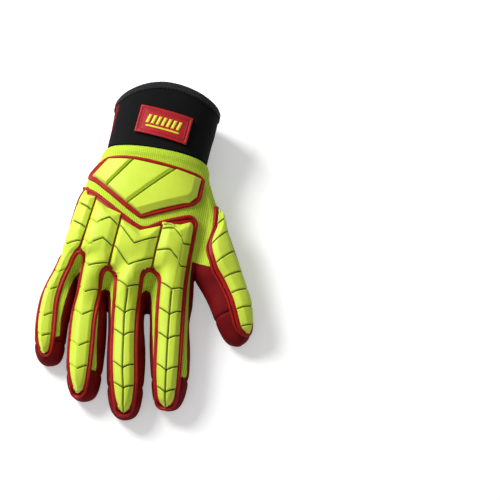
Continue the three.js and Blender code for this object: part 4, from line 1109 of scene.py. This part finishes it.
# Line from the foot of a finger down one side, round its tip and up the other.
def fingerBorder(name, high, low):
    index = stripNames.index(name)
    end, rounding = beadTable["tips"][name]
    points = []
    for side in (1, -1):
        half = beadTable["thin"] if (name, side) == ("ring", -1) else beadTable["half"]
        if (name, side) in borderTable["legs"]:
            ys = np.linspace(high if side > 0 else low, end + rounding, 40)
            leg = [(*onBack(legX(name, side, y), y), half) for y in ys]
        else:
            places = np.linspace(0.15, len(guardTable[name]) - 1.35, 60)
            through, way, _ = stripRays(name, places, np.array([-1.0, -0.5]), "outline")
            hits = [dropOn(skinTree, through[r, 0], way[r, 0], nearStart) for r in range(len(places))]
            leg = [(*hit, beadTable["thin"]) for hit in hits if hit is not None]
            leg = [point for point in leg if point[1] > end + rounding]
        points.append(leg)
    right, left = points
    a, b = np.array(right[-1]), np.array(left[-1])
    tip = []
    for turn in np.radians(np.linspace(8, 172, 24)):
        t = (1 - math.cos(turn)) / 2
        x = mix(a[0], b[0], t)
        y = mix(a[1], b[1], t) - rounding * math.sin(turn) ** beadTable["tipPower"]
        tip.append((*onBack(x, y), beadTable["half"] * beadTable["tipHalf"]))
    return right + tip + left[::-1]


# Line over the arch between two fingers, from the thumb's side to the little finger's.
def archBorder(divider):
    base, slope = guardTable["dividers"][divider]
    top, height = borderTable["arches"][divider]
    middle = base + slope * top
    power = 2 / borderTable["archSquare"]
    points = []
    for side in (-1, 1):
        name = stripNames[divider + 1 if side < 0 else divider]
        half = beadTable["thin"] if (name, side) == ("ring", -1) else beadTable["half"]
        turns = np.radians(np.linspace(84, 4, 14) if side < 0 else np.linspace(4, 84, 14))
        for turn in turns:
            y = top - height * (1 - math.cos(turn) ** power)
            x = middle + (legX(name, side, y) - middle) * math.sin(turn) ** power
            points.append((*onBack(x, y), mix(beadTable["half"], half, math.sin(turn))))
    return points


def mainBorder():
    points = [(*onBack(x, y), beadTable["half"]) for x, y in beadTable["top"]]
    feet = [top - height for top, height in borderTable["arches"]]
    points += fingerBorder("index", borderTable["handY"], feet[2])
    points += archBorder(2) + fingerBorder("middle", feet[2], feet[1])
    points += archBorder(1) + fingerBorder("ring", feet[1], feet[0])
    points += archBorder(0) + fingerBorder("little", feet[0], None)
    return points


def thumbBorder():
    places = np.linspace(0, len(guardTable["thumb"]) - 1, 90)
    through, way, _ = stripRays("thumb", places, np.array([-1.0, 1.0]), "outline")
    sides = []
    for c in range(2):
        hits = [dropOn(skinTree, through[r, c], way[r, c], nearStart) for r in range(len(places))]
        sides.append([(*hit, beadTable["thumbHalf"]) for hit in hits if hit is not None])
    return sides[0] + sides[1][::-1]


beadPiece("guard_border_main", mainBorder())
beadPiece("guard_border_thumb", thumbBorder(), beadTable["thumbHeight"])
print("borders ready")

# Look of each strip's pads: where the middle groove starts, the ridge, and how strong the painted shade
# in the grooves is on both sides, stronger on the right, away from the light.
padLook = {
    "little": {"valley": None, "ridge": 0.8, "ridgeAt": -0.1, "bevel": (4.6, 1.6), "paintedShade": (0.2, 0.9),
               "fall": 1.3, "broad": (3.5, 3.0)},
    "ring": {"valley": None, "ridge": 0.6, "ridgeAt": -0.15, "bevel": (4.6, 1.6), "paintedShade": (0.2, 0.9),
             "fall": 1.3, "broad": (2.6, 5.0)},
    "middle": {"valley": 3.0, "ridge": 0.5, "ridgeAt": 0.0, "bevel": (2.4, 3.2), "paintedShade": (0.8, 1.0),
               "broad": (2.8, 6.0)},
    "index": {"valley": 3.0, "ridge": 0.5, "ridgeAt": 0.0, "bevel": (2.4, 3.2), "paintedShade": (0.9, 1.0),
              "broad": (6.0, 3.6)},
    "thumb": {"valley": None, "ridge": 0.6, "ridgeAt": 0.1, "bevel": (2.8, 2.8), "paintedShade": (0.8, 0.9)},
}
# Grooves of the pads: depth, half width of the cut and of its painted shade (full and fading).
padCuts = {
    "across": {"depth": 1.5, "cut": (0.1, 1.0), "paintedShade": (0.3, 0.75)},
    "along": {"depth": 1.3, "cut": (0.1, 1.0), "paintedShade": (0.25, 0.7), "strength": 0.85, "start": 0.12},
    "ends": {"thumb": (0.3, 0.2), "finger": (0.21, 0.02)},
    "broad": (2.3, 3.0),  # places between which the pads go from broad to narrow bevels
    "lean": 0.35,  # how far the pads rise along the surface's own normals
    "sunkEdge": 0.3,
    "wallStart": 0.9,
    "offsets": (0, 0.3, 0.6, 1.0, 1.5),  # rows beside a groove, in mm of a block's length
    "block": 16.0,
    "clear": 0.012,
    "bevelTurn": 0.45,  # shares between which the left bevel becomes the right one
    "ridgeReach": 0.75,
    "ridgeStart": 0.6,
    "paleEdge": (0.4, 0.5),  # width at the pad's edge and strength of the grooves' painted shade there
}
padShares = [0, 0.02, 0.045, 0.08, 0.13, 0.2, 0.28, 0.36, 0.44, 0.52, 0.6, 0.68, 0.75, 0.81, 0.86,
             0.9, 0.935, 0.96, 0.98, 1.0]
padShares = np.array([-s for s in padShares[:0:-1]] + padShares)


# Places of the pad rows, closest together at the grooves between its blocks.
def padPlaces(name, count, first, last):
    offsets = np.array(padCuts["offsets"]) / padCuts["block"]
    clear = padCuts["clear"]
    places = list(evenPlaces(name, first, last, guardTable["padStep"]))
    for n in range(1, count):
        places = [place for place in places if abs(place - n) > offsets[-1] + clear]
        places += list(n + offsets) + list(n - offsets[1:])
    places += [first + offsets[1] / 2, last - offsets[1] / 2, first + offsets[2], last - offsets[2]]
    return np.array(sorted(places))


def padPiece(name, node):
    look = padLook[name]
    count = len(guardTable[name]) - 1
    start, end = padCuts["ends"]["thumb" if name == "thumb" else "finger"]
    first, last = start, count - end
    across, along = padCuts["across"], padCuts["along"]
    places = padPlaces(name, count, first, last)
    through, way, reaches = stripRays(name, places, padShares, "pad")
    base = drape(skinTree, through, way, 3, nearStart)
    raiseAlong = unit(mix(way, gridNormals(base), padCuts["lean"]))
    edge = borderDistance(base)
    row = np.linalg.norm(np.diff(base[:, len(padShares) // 2], axis=0), axis=1)
    run = np.concatenate([[0], np.cumsum(row)])
    toRight = smooth(padShares, -padCuts["bevelTurn"], padCuts["bevelTurn"])[None, :]
    bevel = mix(*look["bevel"], toRight)
    wide = 1 - smooth(places, *padCuts["broad"])[:, None]
    broad = look.get("broad", look["bevel"])
    bevel = mix(bevel, mix(*broad, toRight), wide)
    height = mix(guardTable["padEdge"] + padCuts["wallStart"], guardTable["padTop"],
                 ramp(edge / bevel, 0.0, 1.0))
    fromRidge = ramp(np.abs(padShares - look["ridgeAt"]), 0, padCuts["ridgeReach"])
    ridge = look["ridge"] * (1 - fromRidge)[None, :]
    height = height + ridge * ramp(edge / bevel, padCuts["ridgeStart"], 1.0)
    fall = look.get("fall", 0) * ramp(padShares, look["ridgeAt"], 1)[None, :]
    height = height - fall * (1 - wide) * ramp(edge / bevel, 0.0, 1.0)
    grooves = np.array([run[np.argmin(np.abs(places - n))] for n in range(1, count)])
    nearest = np.min(np.abs(run[:, None] - grooves[None, :]), axis=1)[:, None]
    height = height - across["depth"] * (1 - smooth(nearest, *across["cut"]))
    # Painted shade in the grooves across the pads, darker on the side away from the light.
    paintedShade = np.where(padShares < 0, look["paintedShade"][0], look["paintedShade"][1])[None, :]
    groove = (1 - smooth(nearest, *across["paintedShade"])) * paintedShade
    if look["valley"] is not None:
        below = smooth(places, look["valley"], look["valley"] + along["start"])[:, None]
        offset = np.abs(padShares)[None, :] * reaches
        height = height - along["depth"] * below * (1 - smooth(offset, *along["cut"]))
        # Painted shade along the middle groove.
        middle = below * (1 - smooth(offset, *along["paintedShade"])) * along["strength"]
        groove = np.maximum(groove, middle)
    sunk = padCuts["sunkEdge"]
    height = np.maximum(height, guardTable["flangeTop"] + sunk)
    height = np.where(edge <= 0.001, guardTable["flangeTop"] - sunk, height)
    # The painted groove shade is weaker at the pad's edge.
    width, strength = padCuts["paleEdge"]
    groove = np.where(edge < width, groove * strength, groove)
    top = base + raiseAlong * height[..., None]
    return makePiece(node, gridSheet(top, groove=groove), guardRubber, [node],
                     solid=guardTable["padWall"])


for name in stripNames + ["thumb"]:
    padPiece(name, "guard_pad_" + name)
print("pads ready")

# Guard of the wrist
wristTable = {
    # x, top edge, bottom edge
    "flange": [(-47.2, 49.0, 45.6), (-42, 56.2, 42.4), (-35.5, 62.6, 37.6), (-26, 63.8, 31.0),
               (-14, 63.9, 23.2), (-2.5, 63.2, 17.0), (12, 61.9, 23.6), (25, 61.2, 30.0),
               (34, 60.6, 34.6), (39, 58.0, 41.0)],
    # corners of each pad from its lower left edge to its upper right edge
    "pads": {
        "wrist_pad_little_side": ([(-43.6, 46.8), (-34.6, 60.2)], [(-31.7, 38.6), (-15.6, 61.1)],
                                  {"left": 1.5, "right": 1.7, "low": 1.2, "high": 1.0}),
        "wrist_pad_middle": ([(-31.2, 38.2), (-15.0, 61.0)], [(-14.3, 26.6), (16.3, 58.8)],
                             {"left": 0.8, "right": 2.2, "low": 1.2, "high": 1.0}),
        "wrist_pad_thumb_side": ([(-13.8, 26.6), (-7.1, 33.7), (10.9, 52.6), (17.2, 59.2)],
                                 [(-2.6, 19.8), (31.6, 36.4), (35.6, 42.0), (36.2, 57.4)],
                                 {"left": 0.8, "right": 4.8, "low": 1.2, "high": 1.2}),
    },
    "top": 5.4,
    "edge": 2.4,
    "columns": 130,
    "flangeInset": 0.6,
    "borderInset": 1.2,
    "grooveShade": 0.5,
}


def straightDown(places):
    way = np.zeros_like(places)
    way[..., 2] = 1.0
    return way


def wristFlange():
    table, inset = wristTable["flange"], wristTable["flangeInset"]
    across = np.linspace(table[0][0], table[-1][0], wristTable["columns"])
    shares = np.array([0, 0.012, 0.03, 0.06, 0.12] + list(np.linspace(0.2, 0.8, 26))
                      + [0.88, 0.94, 0.97, 0.988, 1.0])
    places = np.zeros((len(shares), len(across), 3))
    for c, x in enumerate(across):
        high, low = fromTable(table, x, rounded=False)
        places[:, c, 0] = x
        places[:, c, 1] = mix(high - inset, low + inset, shares)
    base = drape(skinTree, places, straightDown(places))
    height = roundEdge(borderDistance(base), guardTable["flangeTop"], *guardTable["flangeRound"])
    top = base + gridNormals(base) * height[..., None]
    return makePiece("wrist_guard_flange", gridSheet(top), flangeRubber,
                     ["wrist_guard_flange"], solid=guardTable["flangeWall"])


def alongLine(line, t):
    place = t * (len(line) - 1)
    low = min(int(place), len(line) - 2)
    return mix(np.array(line[low]), np.array(line[low + 1]), place - low)


def lineDistance(point, line):
    best = 1e9
    for a, b in zip(line[:-1], line[1:]):
        a, b = np.array(a), np.array(b)
        t = np.clip(np.dot(point - a, b - a) / np.dot(b - a, b - a), 0, 1)
        best = min(best, float(np.linalg.norm(point - a - (b - a) * t)))
    return best


def wristPad(name, lower, upper, bevels):
    fineEnd = [0, 0.008, 0.02, 0.035, 0.055, 0.08]
    steps = np.array(fineEnd + list(np.linspace(0.11, 0.89, 34)) + [1 - s for s in fineEnd[::-1]])
    places = np.zeros((len(steps), len(steps), 3))
    for r, v in enumerate(steps[::-1]):
        a, b = alongLine(lower, v), alongLine(upper, v)
        for c, u in enumerate(steps):
            places[r, c, :2] = mix(a, b, u)
    way = straightDown(places)
    base = drape(skinTree, places, way, 6)
    normals = unit(mix(way, gridNormals(base), padCuts["lean"]))
    sides = {"left": lower, "right": upper, "low": [lower[0], upper[0]],
             "high": [lower[-1], upper[-1]]}
    height = np.empty(places.shape[:2])
    for r in range(len(steps)):
        for c in range(len(steps)):
            rise = min(lineDistance(places[r, c, :2], sides[key]) / bevels[key] for key in sides)
            height[r, c] = mix(wristTable["edge"], wristTable["top"], min(rise, 1.0))
    height[0, :] = height[-1, :] = guardTable["flangeTop"] - padCuts["sunkEdge"]
    height[:, 0] = height[:, -1] = guardTable["flangeTop"] - padCuts["sunkEdge"]
    top = base + normals * height[..., None]
    # Painted shade along the sides of the pads that face the grooves between them.
    groove = np.zeros(height.shape)
    if name != "wrist_pad_thumb_side":
        groove[:, -3:] = wristTable["grooveShade"]
    if name != "wrist_pad_little_side":
        groove[:, :2] = wristTable["grooveShade"]
    return makePiece(name, gridSheet(top, groove=groove), guardRubber, [name],
                     solid=guardTable["padWall"])


# Outline of the wrist guard, moved inwards.
def wristBorder():
    table = np.array(wristTable["flange"])
    corners = np.concatenate([table[:, [0, 1]], table[::-1, [0, 2]]])
    before, after = np.roll(corners, 1, axis=0), np.roll(corners, -1, axis=0)
    one, two = unit(corners - before), unit(after - corners)
    ahead = unit(one + two)
    inwards = np.stack([ahead[:, 1], -ahead[:, 0]], axis=-1)
    widened = wristTable["borderInset"] / np.maximum(np.sum(ahead * one, axis=1), 0.6)
    corners = corners + inwards * widened[:, None]
    line = resample(np.pad(corners, ((0, 0), (0, 1))), beadTable["step"])
    return [(*onBack(x, y), beadTable["wristHalf"]) for x, y in line[:, :2]]


wristFlange()
beadPiece("wrist_guard_border", wristBorder())
for name, (lower, upper, bevels) in wristTable["pads"].items():
    wristPad(name, lower, upper, bevels)
print("wrist guard ready")

# Cuff
cuffTable = {
    "base": 3.4,
    # y, centre, half width, top
    "rows": [(73.2, -0.2, 37.8, 48.5), (86, 0.4, 37.9, 51), (99, 1.0, 38.4, 54),
             (118.5, 1.5, 39.0, 58)],
    "rim": {"back": 4.5, "palm": 0, "thumbSide": -4.5, "littleSide": -11},
    "square": 2.25,
    "wall": 2.6,
    "binding": 4.2,
    "swell": 0.7,
    "gussetRim": (152, 166),
    "gussetSeam": (172, 177),
    "split": -4,
    "panelGap": -0.12,
    "panelRows": 46,
    "panelStep": 1.6,  # degrees between the columns of a panel
    "seamDip": (0.55, 0.18),
    "creases": [(0.06, 0.45), (0.16, 0.15)],
    "lowest": 0.6,
    "front": 0.9,  # depth of the fold of the binding
    "flat": 0.36,  # share of its section on each side of the fold
    "reach": 0.8,  # share of the binding's width that the fold leaves flat
    "tuck": 0.1,  # its edges lie this deep in the panels
    "tape": 0.5,
    "tapeLowest": 0.3,
    "under": 0.4,  # how far the panels go under the binding
}


def cuffPoint(share, angle, depth=0.0):
    rows = [(n / 3, *row) for n, row in enumerate(cuffTable["rows"])]
    y, centre, half, top = fromTable(rows, min(max(share, 0.0), 1.0))
    tall = (top - cuffTable["base"]) / 2
    u, v = sectionPoint(angle, half - depth, tall - depth, cuffTable["square"])
    c, s = math.cos(angle), math.sin(angle)
    rim = cuffTable["rim"]
    shiftY = ((rim["thumbSide"] if c > 0 else rim["littleSide"]) * c * c
              + (rim["back"] if s > 0 else rim["palm"]) * s * s)
    return np.array([centre + u, y + shiftY * share * share, cuffTable["base"] + tall + v])


def cuffLength(angle):
    return cuffPoint(1, angle)[1] - cuffPoint(0, angle)[1]


def cuffPanel(node, seam, rim, material):
    columns = max(12, int(abs(rim[1] - rim[0]) / cuffTable["panelStep"]))
    rows = cuffTable["panelRows"]
    under = cuffTable["binding"] - cuffTable["under"]
    points = np.empty((rows, columns, 3))
    gap = math.degrees(cuffTable["panelGap"] / 38)  # over the half width
    for r in range(rows):
        for c in range(columns):
            t = c / (columns - 1)
            seamAngle = mix(seam[0] - gap, seam[1] + gap, t)
            rimAngle = mix(rim[0] - gap, rim[1] + gap, t)
            length = cuffLength(math.radians(rimAngle))
            share = (1 - r / (rows - 1)) * (1 - under / length)
            angle = math.radians(mix(seamAngle, rimAngle, share))
            edge = min(c, columns - 1 - c)
            dip = cuffTable["seamDip"][edge] if edge < 2 else 0.0
            place = cuffPoint(share, angle, dip)
            wave = sum(noise.noise(Vector(place) * size) * depth
                       for size, depth in cuffTable["creases"])
            points[r, c] = cuffPoint(share, angle, dip - (wave if edge > 2 else 0))
    points[..., 2] = np.maximum(points[..., 2], cuffTable["lowest"])
    return makePiece(node, gridSheet(points), material, [node], solid=cuffTable["wall"])


cuffPanel("cuff_back", (cuffTable["gussetSeam"][0], cuffTable["split"]),
          (cuffTable["gussetRim"][0], cuffTable["split"]), cuffFabric)
cuffPanel("cuff_gusset", cuffTable["gussetSeam"][::-1], cuffTable["gussetRim"][::-1], sideFabric)
cuffPanel("cuff_palm", (cuffTable["split"], cuffTable["gussetSeam"][1] - 360),
          (cuffTable["split"], cuffTable["gussetRim"][1] - 360), cuffFabric)


# Tape folded over the rim: a closed ring of a rounded U section.
def bindingPiece():
    columns, section = 240, 22
    flat, front, swell = cuffTable["flat"], cuffTable["front"], cuffTable["swell"]
    half = cuffTable["wall"] / 2 + swell
    straight = cuffTable["binding"] * cuffTable["reach"]
    points = np.empty((columns + 1, section + 1, 3))
    for n in range(columns + 1):
        angle = -2 * math.pi * n / columns
        length = cuffLength(angle)
        for m in range(section + 1):
            t = m / section
            if t < flat:
                back, depth = straight * (1 - t / flat) + front, -swell
            elif t > 1 - flat:
                back, depth = straight * (1 - (1 - t) / flat) + front, cuffTable["wall"] + swell
            else:
                bend = math.pi * (t - flat) / (1 - 2 * flat)
                back = front * (1 - math.sin(bend))
                depth = cuffTable["wall"] / 2 - half * math.cos(bend)
            if t < 0.05 or t > 0.95:
                depth = cuffTable["tuck"] if t < 0.5 else cuffTable["wall"] - cuffTable["tuck"]
            points[n, m] = cuffPoint(1 - back / length, angle, depth)
    points[..., 2] = np.maximum(points[..., 2], cuffTable["tapeLowest"])
    bm = gridSheet(points, closed=True)
    bmesh.ops.recalc_face_normals(bm, faces=bm.faces)
    return makePiece("cuff_binding", bm, bindingTape, ["cuff_binding"],
                     solid=cuffTable["tape"])


bindingPiece()
print("cuff ready")

# Smooth surface of the cuff, for what lies on it.
alongCuff, roundCuff = 60, 180
cuffGrid = [cuffPoint(r / alongCuff, 2 * math.pi * c / roundCuff).tolist()
            for r in range(alongCuff + 1) for c in range(roundCuff + 1)]
corners = [r * (roundCuff + 1) + c for r in range(alongCuff) for c in range(roundCuff)]
cuffTree = BVHTree.FromPolygons(cuffGrid, [(a, a + 1, a + roundCuff + 2, a + roundCuff + 1)
                                           for a in corners])


# Grid of a turned rectangle laid on a surface from above.
def rectangleOn(tree, centre, width, height, turn, columns, rows):
    points = np.zeros((rows, columns, 3))
    c, s = math.cos(math.radians(turn)), math.sin(math.radians(turn))
    us = np.linspace(-0.5, 0.5, columns)
    vs = np.linspace(0.5, -0.5, rows)
    for r, v in enumerate(vs):
        for k, u in enumerate(us):
            dx, dy = u * width, v * height
            points[r, k, :2] = (centre[0] + dx * c - dy * s, centre[1] + dx * s + dy * c)
    return drape(tree, points, straightDown(points), 4), us, vs


# Badge: bent rubber plate with a raised rim.
badgeTable = {"centre": (2.0, 91.2), "width": 39, "height": 20.5, "turn": -5.5, "lift": 0.6,
              "thickness": 1.5, "rim": 1.5, "rimHeight": 0.6, "rimSlope": 0.35, "roundEdge": 0.55,
              "edgeDrop": 0.5, "wall": 1.7, "columns": 79, "rows": 42}


def badgePiece():
    table = badgeTable
    base, us, vs = rectangleOn(cuffTree, table["centre"], table["width"], table["height"],
                               table["turn"], table["columns"], table["rows"])
    normals = gridNormals(base)
    fromX = (0.5 - np.abs(us))[None, :] * table["width"]
    fromY = (0.5 - np.abs(vs))[:, None] * table["height"]
    edge = np.minimum(fromX, fromY)
    rim = 1 - smooth(edge, table["rim"] - table["rimSlope"], table["rim"] + table["rimSlope"])
    height = table["lift"] + table["thickness"] + table["rimHeight"] * rim
    fromEdge = 1 - ramp(edge, 0, table["roundEdge"])
    height -= table["edgeDrop"] * (1 - np.sqrt(1 - fromEdge ** 2))
    top = base + normals * height[..., None]
    makePiece("badge", gridSheet(top), badgeRubber, ["badge"],
              solid=table["wall"])
    return base + normals * (table["lift"] + table["thickness"])


badgeTop = badgePiece()


# Point and normal of a grid at shares of its width and height.
def onGrid(points, normals, u, v):
    rows, columns = points.shape[:2]
    r, c = min(max(v, 0), 1) * (rows - 1), min(max(u, 0), 1) * (columns - 1)
    i, j = min(int(r), rows - 2), min(int(c), columns - 2)
    near = mix(points[i, j], points[i, j + 1], c - j)
    far = mix(points[i + 1, j], points[i + 1, j + 1], c - j)
    return mix(near, far, r - i), normals[i, j]


def joinSheets(sheets):
    bm = bmesh.new()
    for points in sheets:
        rows, columns = points.shape[:2]
        verts = [[bm.verts.new(points[r, c]) for c in range(columns)] for r in range(rows)]
        for r in range(rows - 1):
            for c in range(columns - 1):
                bm.faces.new([verts[r][c], verts[r + 1][c], verts[r + 1][c + 1], verts[r][c + 1]])
    return bm


# Plain marks on the badge, in millimetres from its middle: x, y, width, height, slant.
markTable = {
    "raise": 0.45,
    "sunkEdge": 0.2,
    "wide": 5,  # marks as wide as this or wider bend with the badge
    "wall": 0.5,
    "bars": [(-11.4 + 3.8 * n, 1.2, 2.3, 6.4, 0.22) for n in range(7)] + [(0, -4.0, 25.0, 1.3, 0)],
    "frame": {"inset": 3.0, "width": 0.55, "raise": 0.3, "wall": 0.4},
}


def markSheet(x, y, width, height, slant, lift):
    table, wide = badgeTable, markTable["wide"]
    normals = gridNormals(badgeTop)
    across = np.array([0, 0.05, 0.5, 0.95, 1.0]) if width < wide else np.linspace(0, 1, 30)
    down = np.array([0, 0.05, 0.35, 0.65, 0.95, 1.0]) if height < wide else np.linspace(0, 1, 20)
    points = np.empty((len(down), len(across), 3))
    for r, v in enumerate(down):
        for c, u in enumerate(across):
            dx = x + (u - 0.5) * width + slant * (0.5 - v) * height
            dy = y + (0.5 - v) * height
            place, normal = onGrid(badgeTop, normals, dx / table["width"] + 0.5,
                                   0.5 - dy / table["height"])
            rim = r in (0, len(down) - 1) or c in (0, len(across) - 1)
            points[r, c] = place + normal * (lift - (markTable["sunkEdge"] if rim else 0))
    return points


def badgeMarks():
    bars = [markSheet(*bar, markTable["raise"]) for bar in markTable["bars"]]
    makePiece("badge_bars", joinSheets(bars), markYellow, solid=markTable["wall"])
    inset, width = markTable["frame"]["inset"], markTable["frame"]["width"]
    halfX, halfY = badgeTable["width"] / 2 - inset, badgeTable["height"] / 2 - inset
    lift = markTable["frame"]["raise"]
    sides = [(0, halfY, 2 * halfX + width, width, 0), (0, -halfY, 2 * halfX + width, width, 0),
             (halfX, 0, width, 2 * halfY, 0), (-halfX, 0, width, 2 * halfY, 0)]
    makePiece("badge_line", joinSheets([markSheet(*side, lift) for side in sides]), badgeRubber,
              solid=markTable["frame"]["wall"])


badgeMarks()


# Length, gap and radius of the stitches of each seam, and how far it lies from the edge.
stitchTable = {
    "rim": {"size": (1.9, 1.1, 0.28), "inset": 0.5, "lift": 0.75},
    "badge": {"size": (1.5, 0.8, 0.2), "inset": 2.2},
    "patch": {"size": (1.7, 1.1, 0.22), "inset": (1.2, 2.6)},
    # share of the length, of the radius and lift of each ring of a stitch
    "rings": [(0.0, 0.25, -0.25), (0.12, 0.8, 0.0), (0.5, 1.0, 0.12), (0.88, 0.8, 0.0),
              (1.0, 0.25, -0.25)],
    "sides": 6,
}


# Short stitches along lines of points, each with its normal.
def stitchPiece(name, lines, material, length, gap, radius):
    rings, around = stitchTable["rings"], stitchTable["sides"]
    sheets = []
    for points, normals in lines:
        run = np.linalg.norm(np.diff(points, axis=0), axis=1)
        run = np.concatenate([[0], np.cumsum(run)])
        count = int(run[-1] / (length + gap))
        for n in range(count):
            start = (n + 0.5) * run[-1] / count - length / 2
            middle = [np.interp(start + length / 2, run, normals[:, k]) for k in range(3)]
            normal = unit(np.array(middle))
            ends = [np.array([np.interp(start + t * length, run, points[:, k]) for k in range(3)])
                    for t in (0, 1)]
            ahead = unit(ends[1] - ends[0])
            across = np.cross(ahead, normal)
            sheet = np.empty((len(rings), around + 1, 3))
            for r, (t, size, lift) in enumerate(rings):
                for c in range(around + 1):
                    turn = 2 * math.pi * c / around
                    sheet[r, c] = (mix(ends[0], ends[1], t) + normal * (lift * radius * 2)
                                   + (across * math.cos(turn) + normal * math.sin(turn))
                                   * radius * size)
            sheets.append(sheet)
    bm = joinSheets(sheets)
    bmesh.ops.remove_doubles(bm, verts=bm.verts, dist=0.001)
    bmesh.ops.holes_fill(bm, edges=[edge for edge in bm.edges if edge.is_boundary], sides=0)
    bmesh.ops.recalc_face_normals(bm, faces=bm.faces)
    return makePiece(name, bm, material)


def cuffSeam(back, depth):
    points, normals = [], []
    for n in range(361):
        angle = math.radians(n)
        share = 1 - back / cuffLength(angle)
        points.append(cuffPoint(share, angle, depth))
        normals.append(cuffPoint(share, angle, depth - 1) - points[-1])
    return np.array(points), unit(np.array(normals))


# Line round a sheet, inwards of its border.
def aroundSheet(points, width, height, inset):
    normals = gridNormals(points)
    u, v = inset / width, inset / height
    corners = [(u, v), (1 - u, v), (1 - u, 1 - v), (u, 1 - v), (u, v)]
    line, ways = [], []
    for (a, b), (c, d) in zip(corners[:-1], corners[1:]):
        for t in np.linspace(0, 1, 24, endpoint=False):
            place, normal = onGrid(points, normals, mix(a, c, t), mix(b, d, t))
            line.append(place)
            ways.append(normal)
    return np.array(line + line[:1]), np.array(ways + ways[:1])


rimSeam = cuffSeam(cuffTable["binding"] - stitchTable["rim"]["inset"], -stitchTable["rim"]["lift"])
stitchPiece("rim_stitches", [rimSeam], blackThread, *stitchTable["rim"]["size"])
badgeSeam = aroundSheet(badgeTop, badgeTable["width"], badgeTable["height"],
                        stitchTable["badge"]["inset"])
stitchPiece("badge_stitches", [badgeSeam], redThread, *stitchTable["badge"]["size"])

# Reflective patches, plate and webbing tab under the cuff.
underTable = {"x": 7.0, "patchWidth": 31, "patchHeight": 12.6, "plateWidth": 31,
              "plateHeight": 12.2, "tabWidth": 30, "gap": 0.6, "from": 74.0, "beyond": 8.5,
              "patch": 0.9, "plate": 1.5, "tab": 1.1, "lift": 0.55, "roundEdge": 0.5, "edgeDrop": 0.35,
              "rimClear": 4.0, "swellFrom": 1.5, "swellTo": 3.5, "lowest": 0.05, "rows": 30,
              "columns": 42}


# Flat piece on the palm side of the cuff, from one y to another.
def underPiece(node, width, fromY, toY, thickness, material):
    t = underTable
    rows, columns = t["rows"], t["columns"]
    points = np.zeros((rows, columns, 3))
    rimY = cuffTable["rows"][-1][0]
    for r in range(rows):
        y = mix(toY, fromY, r / (rows - 1))
        for c in range(columns):
            x = t["x"] + (0.5 - c / (columns - 1)) * width
            below = np.array([x, min(y, rimY - t["rimClear"]), 0.0])
            hit = dropOn(cuffTree, below, np.array([0, 0, -1.0]))
            z = cuffTable["base"] if hit is None else hit[2]
            bound = rimY - cuffTable["binding"] - t["swellFrom"]
            extra = cuffTable["swell"] * smooth(y, bound, rimY - t["swellTo"])
            edge = min(min(c, columns - 1 - c) / (columns - 1) * width,
                       min(r, rows - 1 - r) / (rows - 1) * abs(toY - fromY))
            fromEdge = 1 - min(edge / t["roundEdge"], 1)
            soft = t["edgeDrop"] * (1 - math.sqrt(1 - fromEdge ** 2))
            points[r, c] = (x, y, max(z - t["lift"] - extra - thickness + soft, t["lowest"]))
    makePiece(node, gridSheet(points), material, [node], solid=thickness)
    return points


def underStack():
    t = underTable
    plateFrom = t["from"] + t["patchHeight"] + t["gap"]
    lowerFrom = plateFrom + t["plateHeight"] + t["gap"]
    tabFrom = lowerFrom + t["patchHeight"] + t["gap"]
    upper = underPiece("reflective_patch_upper", t["patchWidth"], t["from"],
                       t["from"] + t["patchHeight"], t["patch"], reflectiveCloth)
    underPiece("size_plate", t["plateWidth"], plateFrom, plateFrom + t["plateHeight"], t["plate"],
               plateRubber)
    lower = underPiece("reflective_patch_lower", t["patchWidth"], lowerFrom,
                       lowerFrom + t["patchHeight"], t["patch"], reflectiveCloth)
    seams = [aroundSheet(patch, t["patchWidth"], t["patchHeight"], inset)
             for patch in (upper, lower) for inset in stitchTable["patch"]["inset"]]
    stitchPiece("patch_stitches", seams, blackThread, *stitchTable["patch"]["size"])
    underPiece("pull_tab", t["tabWidth"], tabFrom, cuffTable["rows"][-1][0] + t["beyond"],
               t["tab"], webbing)


underStack()
print("cuff details ready")

# Floor, light and camera
stageLook = {"world": 0.24, "floorGlow": 0.35, "floorSize": 30.0, "floorGap": 0.0004, "lamps": [
    ("key", (-0.80, 0.42, 0.78), 0.5, 16.0), ("fill", (-0.1, -0.9, 1.0), 0.9, 2.0)]}


def buildStage():
    bm = bmesh.new()
    bmesh.ops.create_grid(bm, x_segments=2, y_segments=2, size=stageLook["floorSize"])
    bmesh.ops.translate(bm, verts=bm.verts, vec=(0, 0, -stageLook["floorGap"]))
    mesh = bpy.data.meshes.new("floor")
    bm.to_mesh(mesh)
    bm.free()
    floor = bpy.data.objects.new("floor", mesh)
    bpy.context.collection.objects.link(floor)
    white, _ = newMaterial("floorWhite")
    seen = addNode(white, "ShaderNodeLightPath").outputs["Is Camera Ray"]
    link(white, times(white, seen, stageLook["floorGlow"]), "Emission Strength")
    white.node_tree.nodes["Principled BSDF"].inputs["Emission Color"].default_value = (1, 1, 1, 1)
    mesh.materials.append(white)
    world = bpy.data.worlds.new("studio")
    world.use_nodes = True
    world.node_tree.nodes["Background"].inputs["Color"].default_value = (1, 1, 1, 1)
    world.node_tree.nodes["Background"].inputs["Strength"].default_value = stageLook["world"]
    bpy.context.scene.world = world
    for name, place, size, power in stageLook["lamps"]:
        light = bpy.data.lights.new(name, "AREA")
        light.size = size
        light.energy = power
        lamp = bpy.data.objects.new(name, light)
        lamp.location = place
        lamp.rotation_mode = "QUATERNION"
        lamp.rotation_quaternion = (-Vector(place)).to_track_quat("-Z", "Y")
        bpy.context.collection.objects.link(lamp)
    back = Vector(cameraBack())
    data = bpy.data.cameras.new("camera")
    data.lens = stageTable["lens"]
    data.clip_start, data.clip_end = 0.5, 60
    camera = bpy.data.objects.new("camera", data)
    camera.rotation_mode = "QUATERNION"
    camera.location = Vector(stageTable["target"]) + back * stageTable["distance"]
    camera.rotation_quaternion = (-back).to_track_quat("-Z", "Y")
    bpy.context.collection.objects.link(camera)
    bpy.context.scene.camera = camera


buildStage()
